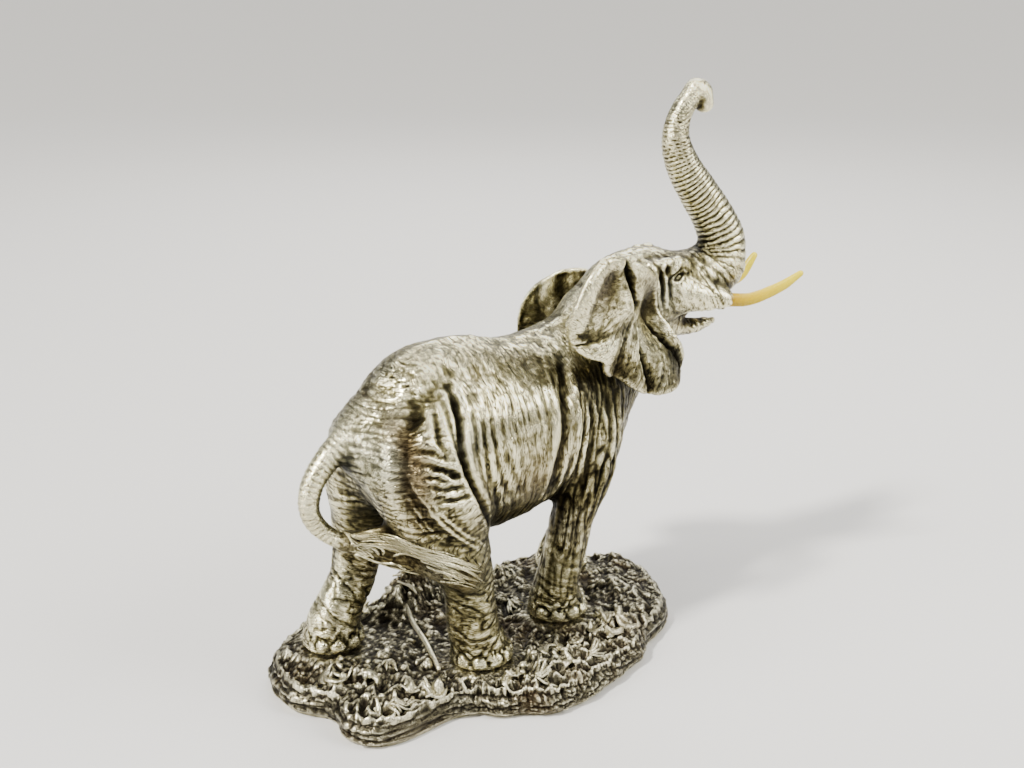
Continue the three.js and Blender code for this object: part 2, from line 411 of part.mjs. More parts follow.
// ---------------------------------------------------------------- the ground base
const ease = t => { const q = Math.min(Math.max(t, 0), 1); return q * q * (3 - 2 * q); };
const ripple = (x, y) => 0.9 * Math.sin(x * 0.21 + 1.3 * Math.sin(y * 0.17)) * Math.cos(y * 0.24 + Math.sin(x * 0.13)) + 0.5 * Math.sin(x * 0.47 - y * 0.39);
function ground(x, y, edge) {
  let z = BASE_RIM + 1.5 + 3.5 * ease(edge / 30) + 0.9 * ripple(x, y) * ease(edge / 8);
  for (const [mx, my, h, a, b] of MOUNDS) z += h * Math.exp(-(((x - mx) / a) ** 2) - (((y - my) / b) ** 2)) * ease(edge / 6);
  for (const [fx, fy, sole, r] of FEET) {
    const k = ease((Math.hypot(x - fx, y - fy) - r - 6) / 8);
    z = (sole - GAP) * (1 - k) + z * k;
  }
  return z;
}
function basePlate() {
  const pos = [], tri = [], S = BASE_SPOKES;
  const edge = a => periodic(BASE_EDGE, a / (2 * Math.PI)) + 0.8 * Math.sin(11 * a + 0.7) + 0.7 * Math.sin(17 * a);
  // rings from the underside out, up the rounded rim and in over the ground
  const rim = [[-4.5, 0], [-1.2, 1.2], [0, 4], [-0.6, 7.5], [-2.6, 10.6], [-6, BASE_RIM + 0.8]];
  const inner = [0.86, 0.77, 0.68, 0.59, 0.5, 0.41, 0.32, 0.23, 0.13];
  const ring = at => { for (let j = 0; j < S; j++) { const a = 2 * Math.PI * j / S; pos.push(...at(a)); } };
  for (const [off, z] of rim) ring(a => { const r = edge(a) + off; return [BASE_CENTRE[0] + r * Math.cos(a), BASE_CENTRE[1] + r * Math.sin(a), z]; });
  for (const f of inner) ring(a => {
    const r = (edge(a) - 6) * f, x = BASE_CENTRE[0] + r * Math.cos(a), y = BASE_CENTRE[1] + r * Math.sin(a);
    return [x, y, ground(x, y, edge(a) - 6 - r)];
  });
  const rings = rim.length + inner.length;
  for (let i = 0; i < rings - 1; i++) for (let j = 0; j < S; j++) {
    const k = (j + 1) % S, a = i * S + j, b = i * S + k, c = a + S, d = b + S;
    tri.push(a, b, d, a, d, c);
  }
  const under = pos.length / 3, top = under + 1;
  pos.push(BASE_CENTRE[0], BASE_CENTRE[1], 0, BASE_CENTRE[0], BASE_CENTRE[1], ground(BASE_CENTRE[0], BASE_CENTRE[1], 60));
  for (let j = 0; j < S; j++) { const k = (j + 1) % S; tri.push(under, k, j, top, (rings - 1) * S + j, (rings - 1) * S + k); }
  return { pos, tri };
}

// ---------------------------------------------------------------- build
const grid = sample(FORMS, [-96, -62, SOLE_HIND - 4], [170, 66, 280], PITCH);
const cast = simplify(skin(settle(grid)), BODY_TRIANGLES + 200);
for (let i = 0; i < cast.pos.length; i += 3) {
  const sole = cast.pos[i] > 15 ? SOLE_FRONT : SOLE_HIND;
  cast.pos[i + 2] = Math.max(cast.pos[i + 2], sole);
}
let body = solid(cast);
for (const t of [TUSK, TUSK_LEFT]) body = body.subtract(solid(bar(head(t), TUSK_SIDES, TUSK_CLEAR)));
const finished = simplify(unwrap(body), BODY_TRIANGLES);

const group = new THREE.Group();
const add = (name, data, color, roughness, metalness) => {
  const mesh = new THREE.Mesh(geometry(data), new THREE.MeshStandardMaterial({ color, roughness, metalness }));
  mesh.name = name;
  group.add(mesh);
};
add('elephant', finished, 0x8f7f58, 0.38, 0.85);
add('tusk_right', bar(head(TUSK), TUSK_SIDES, 0), 0xe8d590, 0.4, 0);
add('tusk_left', bar(head(TUSK_LEFT), TUSK_SIDES, 0), 0xe8d590, 0.4, 0);
add('base', basePlate(), 0x4a4333, 0.5, 0.7);
group.rotation.z = -Math.PI / 2;
group.position.set(-BASE_CENTRE[1], BASE_CENTRE[0], 0);
group.updateMatrixWorld(true);
export default group;
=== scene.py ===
import math

import bpy
import numpy as np
from mathutils import Matrix, Vector


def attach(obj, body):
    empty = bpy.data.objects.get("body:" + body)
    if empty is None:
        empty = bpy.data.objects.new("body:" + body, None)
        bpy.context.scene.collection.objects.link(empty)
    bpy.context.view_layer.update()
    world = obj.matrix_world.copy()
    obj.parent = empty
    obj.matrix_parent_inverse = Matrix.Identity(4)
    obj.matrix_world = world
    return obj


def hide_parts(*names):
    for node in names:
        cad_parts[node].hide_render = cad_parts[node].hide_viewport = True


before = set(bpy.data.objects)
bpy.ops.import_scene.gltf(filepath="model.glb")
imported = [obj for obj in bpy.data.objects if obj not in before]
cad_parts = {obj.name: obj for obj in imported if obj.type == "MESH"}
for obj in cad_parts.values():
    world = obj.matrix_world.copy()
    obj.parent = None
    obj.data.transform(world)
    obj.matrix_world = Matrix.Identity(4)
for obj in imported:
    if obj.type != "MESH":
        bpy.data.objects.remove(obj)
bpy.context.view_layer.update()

F32 = np.float32

# ------------------------------------------------------------------ sizes, millimetres
# Drawn with the animal walking along +X, its left at +Y; turned into the part's frame at the end.
STEP = 0.86     # sampling step of the modelled form
BODY_TRIANGLES = 178000
HEAD_PIVOT = (80.0, 0.0)
HEAD_YAW = math.radians(12)
EAR_FLARE_LEFT = math.radians(35)
EAR_THICK = 3.2
SOLE_HIND, SOLE_FRONT = 18.0, 20.0
BASE_CENTRE = (8.0, -8.0)
HC, HS = math.cos(HEAD_YAW), math.sin(HEAD_YAW)


def head(st):
    return [[HEAD_PIVOT[0] + p[0] * HC + p[1] * HS, HEAD_PIVOT[1] - p[0] * HS + p[1] * HC] + list(p[2:]) for p in st]


def unhead(P):
    x, y = P[:, 0] - HEAD_PIVOT[0], P[:, 1] - HEAD_PIVOT[1]
    return np.stack([x * HC - y * HS, x * HS + y * HC, P[:, 2]], 1)


def to_frame(P):
    P = np.asarray(P, float)
    return np.stack([P[:, 1] - BASE_CENTRE[1], BASE_CENTRE[0] - P[:, 0], P[:, 2]], 1) / 1000.0


# ------------------------------------------------------------------ noise
_rng = np.random.default_rng(11)
_perm = np.concatenate([_rng.permutation(256)] * 3).astype(np.int32)
_grad = _rng.normal(size=(256, 3))
_grad = (_grad / np.linalg.norm(_grad, axis=1)[:, None]).astype(F32)


def noise(P, seed=0):
    P = np.asarray(P, F32) + F32(seed * 17.31)
    I = np.floor(P).astype(np.int32)
    f = P - I
    I &= 255
    u = f * f * f * (f * (f * 6 - 15) + 10)
    out = np.zeros(len(P), F32)
    for i in (0, 1):
        a = _perm[I[:, 0] + i]
        wx = u[:, 0] if i else 1 - u[:, 0]
        for j in (0, 1):
            b = _perm[a + I[:, 1] + j]
            wy = u[:, 1] if j else 1 - u[:, 1]
            for k in (0, 1):
                g = _grad[_perm[b + I[:, 2] + k]]
                wz = u[:, 2] if k else 1 - u[:, 2]
                d = (f[:, 0] - i) * g[:, 0] + (f[:, 1] - j) * g[:, 1] + (f[:, 2] - k) * g[:, 2]
                out += wx * wy * wz * d
    return out * 1.9


def sx(*cols):
    return np.stack([np.broadcast_to(np.asarray(c, F32), np.shape(cols[0])) for c in cols], 1)


def pads(n, width=0.4, power=0.55):
    """0 in a crease, where the noise crosses zero, rising to 1 on the cushion between creases."""
    return np.minimum(np.abs(n) / width, 1) ** power


def step(a, b, x):
    t = np.clip((x - a) / (b - a), 0, 1)
    return t * t * (3 - 2 * t)


# ------------------------------------------------------------------ limbs and ears as distance fields
def cubic(st, n):
    P = np.array(st, float)
    Q = np.vstack([2 * P[0] - P[1], P, 2 * P[-1] - P[-2]])
    out = []
    for i in range(1, len(Q) - 2):
        a, b, c, d = Q[i - 1:i + 3]
        for j in range(n):
            t = j / n
            out.append(0.5 * (2 * b + (c - a) * t + (2 * a - 5 * b + 4 * c - d) * t * t + (3 * b - a - 3 * c + d) * t ** 3))
    out.append(P[-1])
    return np.array(out)


class Limb:
    def __init__(self, name, blend, st, sole=None):
        self.name, self.blend, self.sole = name, blend, sole
        c = cubic(st, 5)
        T = np.gradient(c[:, :3], axis=0)
        T /= np.linalg.norm(T, axis=1)[:, None]
        S = np.array([0, 1.0, 0]) - T * T[:, 1:2]
        S /= np.linalg.norm(S, axis=1)[:, None]
        self.c, self.T, self.S, self.N = (v.astype(F32) for v in (c, T, S, np.cross(T, S)))
        self.A, self.D = self.c[:-1, :3], self.c[1:, :3] - self.c[:-1, :3]
        self.DD = (self.D ** 2).sum(1)
        self.length = np.concatenate([[0], np.cumsum(np.sqrt(self.DD))]).astype(F32)
        r = c[:, 3:5].max()
        self.lo, self.hi = c[:, :3].min(0) - r, c[:, :3].max(0) + r

    def spans(self, C):
        v = C[:, None, :] - self.A[None]
        t = np.clip((v * self.D[None]).sum(2) / self.DD, 0, 1)
        w = v - t[..., None] * self.D[None]
        return np.sqrt((w * w).sum(2))

    def at(self, P, near=None, full=False):
        """P is blocks of points (m, q, 3); near says which segments matter to each block."""
        m, q = P.shape[:2]
        best = np.full((m, q), 1e18, F32)
        bi, bt = np.zeros((m, q), np.int32), np.zeros((m, q), F32)
        for i in range(len(self.A)):
            idx = np.arange(m) if near is None else np.nonzero(near[:, i])[0]
            if not len(idx):
                continue
            v = P[idx] - self.A[i]
            t = np.clip((v @ self.D[i]) / self.DD[i], 0, 1)
            v -= t[..., None] * self.D[i]
            r = np.einsum("mqk,mqk->mq", v, v)
            b = best[idx]
            k = r < b
            b[k] = r[k]
            best[idx] = b
            x = bi[idx]; x[k] = i; bi[idx] = x
            x = bt[idx]; x[k] = t[k]; bt[idx] = x
        bi, bt, X = bi.ravel(), bt.ravel()[:, None], P.reshape(-1, 3)
        mix = lambda A: A[bi] * (1 - bt) + A[bi + 1] * bt
        c = mix(self.c)
        v = X - c[:, :3]
        a, b, e = ((v * mix(K)).sum(1) for K in (self.S, self.N, self.T))
        ra, rb = c[:, 3], c[:, 4]
        k = np.sqrt((a / ra) ** 2 + (b / rb) ** 2 + (e / np.minimum(ra, rb)) ** 2) + 1e-6
        d = np.sqrt(a * a + b * b + e * e) * (1 - 1 / k)
        if self.sole is not None:
            d = np.maximum(d, self.sole - X[:, 2])
        if full:
            s = self.length[bi] * (1 - bt[:, 0]) + self.length[bi + 1] * bt[:, 0]
            return d, s + e * (np.abs(bt[:, 0] - 0.5) > 0.499), a, b, ra
        return d.reshape(m, q)


def bump(u, w, u0, w0, su, sw):
    return np.exp(-((u - u0) / su) ** 2 - ((w - w0) / sw) ** 2)


def ear_right_form(u, w, q):
    pu, pw = u - 6, w - 8
    r, a = np.hypot(pu, pw), np.degrees(np.arctan2(pw, pu)) % 360
    a = np.degrees(np.arctan2(w - 20, pu)) % 360 + 3 * np.sin(r * 0.12)
    down = np.clip((-pw - 1) / 9, 0, 1)
    # pleats hang from the pinch to the lobes: round backs, sharp valleys
    pleat = np.interp(a, [198, 228, 249, 264, 272, 284, 299, 314, 332, 350], [-1, 0, 1, 1.8, 3, 4, 5, 6, 6.8, 7])
    drape = (1.75 * np.sqrt(np.abs(np.cos(pleat * np.pi / 2)) + 0.01) - 1.05) * np.minimum(r / 24, 1.4) * down
    h = 3 + 6.5 * bump(u, w, -14, 20, 19, 21) - 5.5 * bump(u, w, -13, 23, 11, 13) + 2.8 * drape + 2.2 * bump(u, w, -17, -8, 8, 9) - 1.8 * bump(u, w, -3, -20, 6, 11)
    h = h - 11 * bump(u, w, 20, 4, 13, 15) + 4 * np.clip((-w - 14) / 26, 0, 1) ** 2
    # rolled rim of the upper lobe, the slit in front of it and the fold below it
    up = np.exp(-((np.degrees(np.arctan2(w, u)) - 128) / 62) ** 4)
    h = h + 2.4 * np.exp(-((q - 0.90) / 0.11) ** 2) * up
    along = np.clip(((u + 4) * 8 - (w - 32) * 21) / 505, 0, 1)
    slit = np.hypot(u + 4 - 8 * along, w - 32 + 21 * along)
    sag = np.exp(-((w - 6 + 6 * np.sin(np.clip((u + 42) / 47, 0, 1) * np.pi)) / 4.5) ** 2) * step(6, -8, u)
    curl = bump(u, w, -40, 10, 5, 5)
    h = h + 2.6 * np.exp(-((np.degrees(np.arctan2(w, u)) - 150) / 34) ** 4) * np.clip((q - 0.55) / 0.45, 0, 1)
    return h - 5.2 * np.exp(-(slit / 3.0) ** 2) - 1.7 * sag - 3.0 * curl


def ear_left_form(u, w, q):
    a, r = np.arctan2(w - 3, u - 14), np.hypot(u - 14, w - 3)
    ray = np.cos(a * 9 + 0.5) * np.clip(r / 26, 0, 1.2) * step(30, 14, u)
    return (4 * (1 - np.minimum(q, 1.2) ** 2) + 0.5 * ray + 0.9 * np.cos(u * 0.30 + w * 0.09) * np.clip(q - 0.3, 0, 1)
            - 1.2 * np.exp(-((u - 6 - 0.18 * w) / 4.5) ** 2) + 0.9 * np.exp(-((u - 1 - 0.35 * w + 0.012 * w * w) / 3.6) ** 2) + 0.7 * np.exp(-((u - 14 - 0.1 * w) / 3.6) ** 2) + 0.8 * np.exp(-((q - 0.94) / 0.09) ** 2))


class Ear:
    sole = None

    def __init__(self, name, blend, centre, d, radii, form):
        self.name, self.blend, self.c, self.R, self.form = name, blend, np.array(centre, F32), np.array(radii, F32), form
        d = np.array(d, float) / np.hypot(*d)
        self.eu, self.en = np.array([d[0], d[1], 0], F32), np.array([d[1], -d[0], 0], F32)
        m = max(radii) + 8
        self.lo = self.c - np.array([abs(d[0]) * m + 12, abs(d[1]) * m + 16, m])
        self.hi = self.c + np.array([abs(d[0]) * m + 12, abs(d[1]) * m + 16, m])

    def edge(self, u, w):
        n = len(self.R)
        x = (np.arctan2(w, u) / (2 * np.pi) % 1) * n
        i = np.floor(x).astype(int)
        t = x - i
        a, b, c, d = (self.R[(i + k) % n] for k in (-1, 0, 1, 2))
        return 0.5 * (2 * b + (c - a) * t + (2 * a - 5 * b + 4 * c - d) * t * t + (3 * b - a - 3 * c + d) * t ** 3)

    def height(self, u, w):
        return self.form(u, w, np.hypot(u, w) / self.edge(u, w))

    def at(self, P, near=None, full=False):
        v = P - self.c
        u, w, n = v @ self.eu, v[..., 2], v @ self.en
        R, h, e = self.edge(u, w), self.height(u, w), 0.7
        r = np.hypot(u, w)
        hu, hw = (self.height(u + e, w) - h) / e, (self.height(u, w + e) - h) / e
        g = np.sqrt(1 + np.minimum(hu * hu + hw * hw, 4))
        t = EAR_THICK * (1 + 0.35 * np.clip(1 - r / R, 0, 1))
        a, b = np.abs(n - h) / g - t / 2 + 1.2, (r - R) * 0.8 + 1.2
        d = np.minimum(np.maximum(a, b), 0) + np.hypot(np.maximum(a, 0), np.maximum(b, 0)) - 1.2
        if full:
            return tuple(k.ravel() for k in (d, u, w, n - h, r / R))
        return d


_a = EAR_FLARE_LEFT
_d = (-math.cos(_a) * HC + math.sin(_a) * HS, math.cos(_a) * HS + math.sin(_a) * HC)
FORMS = [
    Limb("torso", 0, [[-55, 0, 129, 20, 16], [-46, 0, 126, 30, 29], [-31, 0, 123.5, 36, 39.5], [-10, 0, 120, 39, 46.5], [14, 0, 118, 39, 45], [38, 0, 120.5, 36, 41], [58, 0, 126, 31, 38], [74, -1, 136, 25, 31], [86, -2, 149, 20, 26]]),
    Limb("pelvis", 10, [[-50, 0, 142, 15, 9], [-37, 0, 149, 19, 13], [-21, 0, 152.5, 18, 15], [0, 0, 149, 15, 14]]),
    Limb("chest", 12, [[56, 0, 112, 27, 26], [69, 0, 114, 23, 21], [72.5, -1, 121, 16, 15.5]]),
    Limb("neck", 10, [[62, 0, 141.5, 25, 23.5], [78, -1, 154, 20, 19.5], [90, -4, 166.5, 17, 15.5]]),
    Limb("skull", 8, head([[-2, 0, 163.5, 16, 15], [12, 0, 169.8, 19.3, 21.2], [28, 0, 172, 19.5, 22], [44, 0, 173, 17.5, 17.5], [58, 0, 176, 14.5, 13.5], [70, 0, 180, 13, 12]])),
    Limb("jaw", 6, head([[12, 0, 159, 15, 13], [30, 0, 155.4, 12, 9], [46, 0, 150.8, 8, 5.2], [58, 0, 149.4, 5, 3.3], [68, 0, 150.4, 2, 1.7]])),
    Limb("trunk", 5, head([[62, 0, 174, 13.5, 13.5], [70, 0, 181, 13, 13], [72, 0, 192.5, 11.8, 11.8], [66, 0, 205.5, 10.5, 10.5], [56.6, 0, 219, 9.6, 9.6], [47.4, 0, 232.3, 8.4, 8.4], [42.4, 0, 245.4, 6.9, 6.9], [43.8, 0, 256.6, 5.7, 5.7], [49.6, 0, 265.4, 5.2, 5.2], [53.5, 0, 268.6, 5.2, 5.2]])),
    Limb("trunk_tip", 2, head([[52.5, 0, 269, 5.4, 5.4], [56, 0, 267.6, 5.6, 5.4], [57.6, 0, 262.4, 5.2, 4.6]])),
    Limb("socket_right", 4, head([[40, -11, 172, 9, 9], [54, -13.5, 168.5, 8, 8], [63, -15.2, 166.6, 6.2, 6.2]])),
    Limb("socket_left", 4, head([[40, 11, 172, 9, 9], [54, 13.5, 168.5, 8, 8], [63, 15.2, 166.2, 6.2, 6.2]])),
    Limb("brow_right", 4, head([[22, -13, 185.5, 4, 4], [33, -14.8, 188.3, 3.4, 3.4], [42, -12.5, 186.5, 3, 3]])),
    Limb("brow_left", 4, head([[22, 13, 185.5, 4, 4], [33, 14.8, 188.3, 3.4, 3.4], [42, 12.5, 186.5, 3, 3]])),
    Limb("leg_front_right", 9, [[64.5, -17, 127, 14, 13.8], [60, -22, 112, 13.6, 12.6], [55.8, -23, 92, 12, 11.6], [48.2, -22.5, 73, 10.5, 10.3], [42.5, -22, 53, 10, 9.8], [39.5, -20.5, 38, 10.6, 10.6], [39.5, -19, 28, 12.6, 12.6], [41, -18, 19, 14.6, 14.6]], SOLE_FRONT - 0.6),
    Limb("leg_front_left", 9, [[62, 17, 128, 15, 15], [67, 19, 107, 13.5, 12.5], [74, 19.5, 87, 11, 11], [81, 20, 67, 9.6, 9.6], [83.5, 20, 47, 9.1, 9.1], [78, 20, 34, 9.8, 9.8], [75.5, 20, 27, 11.6, 11.6], [75.5, 20, 19, 13.6, 13.6]], SOLE_FRONT - 0.6),
    Limb("leg_hind_right", 9, [[-42, -18, 122, 24, 25], [-38, -24, 106, 21.5, 23], [-31, -27, 90, 18, 19], [-26, -28, 76, 15, 15.5], [-21.5, -28, 62, 12.3, 12.3], [-19.5, -28, 50, 11.4, 11.4], [-18.4, -28, 38, 11.8, 11.8], [-15, -28, 26, 13, 13], [-13.7, -27.7, 17, 14.8, 14.8]], SOLE_HIND - 0.6),
    Limb("leg_hind_left", 9, [[-37, 16, 119, 21, 23], [-42, 22.5, 98, 19, 20], [-44, 25.5, 82, 14.5, 14.5], [-45.5, 26, 66, 12, 12], [-50, 26, 50, 10.8, 10.8], [-56, 26, 40, 10.8, 10.8], [-61, 27, 28, 12.6, 12.6], [-61.8, 27.7, 17, 14.4, 14.4]], SOLE_HIND - 0.6),
    Limb("tail", 4, [[-54, 0, 138, 9, 9], [-65, 0, 132.5, 7.2, 7.2], [-76, 0, 125.5, 5.8, 5.8], [-84.4, 0, 114.5, 5.1, 5.1], [-85.5, 0, 102, 4.5, 4.5], [-79, -2, 91.5, 4, 4], [-69, -7, 85.5, 3.8, 3.8], [-59, -15, 82, 4.6, 4.2], [-47, -25, 78, 6, 4], [-36, -36, 72, 6, 3]]),
    Limb("tuft", 5, [[-71, -7, 87.5, 3.2, 3.4], [-63, -14.5, 88, 3.2, 6.5], [-55, -23, 86.5, 3.2, 8.5], [-46, -31.5, 82.5, 3, 8.5], [-37, -37, 76, 3, 8], [-27, -38.5, 68, 3, 6]]),
    Ear("ear_right", 3, [66, -35, 168], [1, 0], [27, 27, 28, 28.5, 29, 31, 33, 38.5, 43, 43, 41.3, 39.6, 36, 29.5, 23, 24.3, 24.6, 24.0, 28.5, 35, 41.5, 46.5, 42, 32], ear_right_form),
    Ear("ear_left", 3, [98 + _d[0] * 17.5, 16.4 + _d[1] * 17.5, 150], _d, [26, 25.5, 26, 28.5, 31, 29, 27, 28, 30, 32, 30, 28], ear_left_form),
]
TUFT = [p.name for p in FORMS].index("tuft")
TUSK_R = head([[57, -14.2, 167.4, 3.7], [64, -16, 166.5, 3.5], [77.3, -20, 166, 3.15], [91.6, -25, 171.9, 2.6], [101, -28.6, 178.6, 1.5]])
TUSK_L = head([[57, 14.2, 167, 3.7], [64, 16, 165.9, 3.5], [80, 19.5, 162.0, 3.4], [99, 21.8, 164.6, 3.1], [108.6, 21.9, 175, 1.8]])


def smin(a, b, k):
    if k <= 0:
        return np.minimum(a, b)
    h = np.maximum(k - np.abs(a - b), 0) / k
    return np.minimum(a, b) - h * h * (k * 0.25)


def sample(lo, hi, h, B=6):
    """Values of the whole form on a grid, worked out only in the blocks near its surface."""
    lo = np.array(lo, float)
    n = np.ceil((np.array(hi) - lo) / (h * B)).astype(int)
    G = np.empty(n * B + 1, F32)
    C = np.stack(np.meshgrid(*[lo[i] + h * B * (np.arange(n[i]) + 0.5) for i in range(3)], indexing="ij"), -1).reshape(-1, 3).astype(F32)
    reach = h * B * math.sqrt(3) / 2
    mid, vals = np.full(len(C), 1e3, F32), []
    for p in FORMS:
        g = np.full(len(C), 1e3, F32)
        m = np.all((C > p.lo - 24) & (C < p.hi + 24), 1)
        g[m] = p.at(C[m][:, None, :])[:, 0]
        vals.append(g)
        mid = smin(mid, g, p.blend)
    live = np.nonzero(np.abs(mid) < reach * 1.6 + 2)[0]
    sign = np.where(mid < 0, -1.0, 1.0).astype(F32).reshape(n)
    G[:-1, :-1, :-1] = sign.repeat(B, 0).repeat(B, 1).repeat(B, 2)
    G[-1] = 1; G[:, -1] = 1; G[:, :, -1] = 1
    o = np.stack(np.meshgrid(*[np.arange(B + 1)] * 3, indexing="ij"), -1).reshape(-1, 3)
    base = np.stack(np.unravel_index(live, n), -1) * B
    V = np.full((len(live), len(o)), 1e3, F32)
    for p, g in zip(FORMS, vals):
        k = np.nonzero(g[live] < np.maximum(mid[live], 0) + 2.4 * reach + p.blend + 1)[0]
        for part in np.array_split(k, max(1, len(k) // 1500)):
            if not len(part):
                continue
            P = ((base[part][:, None, :] + o[None]) * h + lo).astype(F32)
            near = None
            if isinstance(p, Limb):
                s = p.spans(C[live[part]])
                near = s < s.min(1)[:, None] + 2 * reach + 0.5
            V[part] = smin(V[part], p.at(P, near).astype(F32), p.blend)
    i = base[:, None, :] + o[None]
    G[i[..., 0], i[..., 1], i[..., 2]] = V
    return G, lo


def settle(G):
    """Fills the grid faces where two sheets would share one vertex."""
    for _ in range(6):
        changed = 0
        for q in range(3):
            sl = [slice(None)] * 3
            u, w = (q + 1) % 3, (q + 2) % 3
            def cut(i, j):
                s = list(sl)
                s[u] = slice(i, None if i else -1)
                s[w] = slice(j, None if j else -1)
                return tuple(s)
            a, b, c, d = (G[cut(*k)] < 0 for k in ((0, 0), (1, 0), (0, 1), (1, 1)))
            for at in np.argwhere((a == d) & (b == c) & (a != b)):
                e, f = np.array(at), np.array(at)
                if G[tuple(at)] < 0:
                    e[u] += 1; f[w] += 1
                else:
                    f[u] += 1; f[w] += 1
                t = e if G[tuple(e)] < G[tuple(f)] else f
                G[tuple(t)] = -0.02
                changed += 1
        if not changed:
            break
    return G


def skin(G, lo, h):
    """One vertex in each cell that the surface crosses, one quad across each crossed edge."""
    ins = G < 0
    nx, ny, nz = G.shape
    s = np.zeros((nx - 1, ny - 1, nz - 1), np.int8)
    for i in (0, 1):
        for j in (0, 1):
            for k in (0, 1):
                s += ins[i:nx - 1 + i, j:ny - 1 + j, k:nz - 1 + k]
    cell = (s > 0) & (s < 8)
    ident = np.full(cell.shape, -1, np.int32)
    ci = np.argwhere(cell)
    ident[cell] = np.arange(len(ci))
    acc, cnt = np.zeros((len(ci), 3)), np.zeros(len(ci))
    corner = [np.array(c) for c in ((0, 0, 0), (1, 0, 0), (0, 1, 0), (1, 1, 0), (0, 0, 1), (1, 0, 1), (0, 1, 1), (1, 1, 1))]
    val = [G[tuple((ci + c).T)] for c in corner]
    for a, b in ((0, 1), (2, 3), (4, 5), (6, 7), (0, 2), (1, 3), (4, 6), (5, 7), (0, 4), (1, 5), (2, 6), (3, 7)):
        m = (val[a] < 0) != (val[b] < 0)
        t = np.where(m, val[a] / np.where(m, val[a] - val[b], 1), 0)[:, None]
        acc += np.where(m[:, None], corner[a] + (corner[b] - corner[a]) * t, 0)
        cnt += m
    V = (ci + acc / cnt[:, None]) * h + lo
    Q = []
    for ax in range(3):
        s1, s2 = [slice(None)] * 3, [slice(None)] * 3
        s1[ax], s2[ax] = slice(0, -1), slice(1, None)
        a, b = ins[tuple(s1)], ins[tuple(s2)]
        e = np.argwhere(a != b)
        u, v = [(1, 2), (2, 0), (0, 1)][ax]
        e = e[(e[:, u] > 0) & (e[:, v] > 0) & (e[:, u] < G.shape[u] - 1) & (e[:, v] < G.shape[v] - 1)]
        du, dv = np.zeros(3, int), np.zeros(3, int)
        du[u] = 1; dv[v] = 1
        q = np.stack([ident[tuple((e - du - dv).T)], ident[tuple((e - dv).T)], ident[tuple(e.T)], ident[tuple((e - du).T)]], 1)
        flip = ~a[tuple(e.T)]
        q[flip] = q[flip][:, ::-1]
        Q.append(q)
    return V, np.vstack(Q)


def normals(V, Q):
    n = np.cross(V[Q[:, 2]] - V[Q[:, 0]], V[Q[:, -1]] - V[Q[:, 1]]) if Q.shape[1] == 4 else np.cross(V[Q[:, 1]] - V[Q[:, 0]], V[Q[:, 2]] - V[Q[:, 0]])
    N = np.zeros_like(V)
    for i in range(Q.shape[1]):
        for k in range(3):
            N[:, k] += np.bincount(Q[:, i], n[:, k], len(V))
    return N / (np.linalg.norm(N, axis=1)[:, None] + 1e-12)


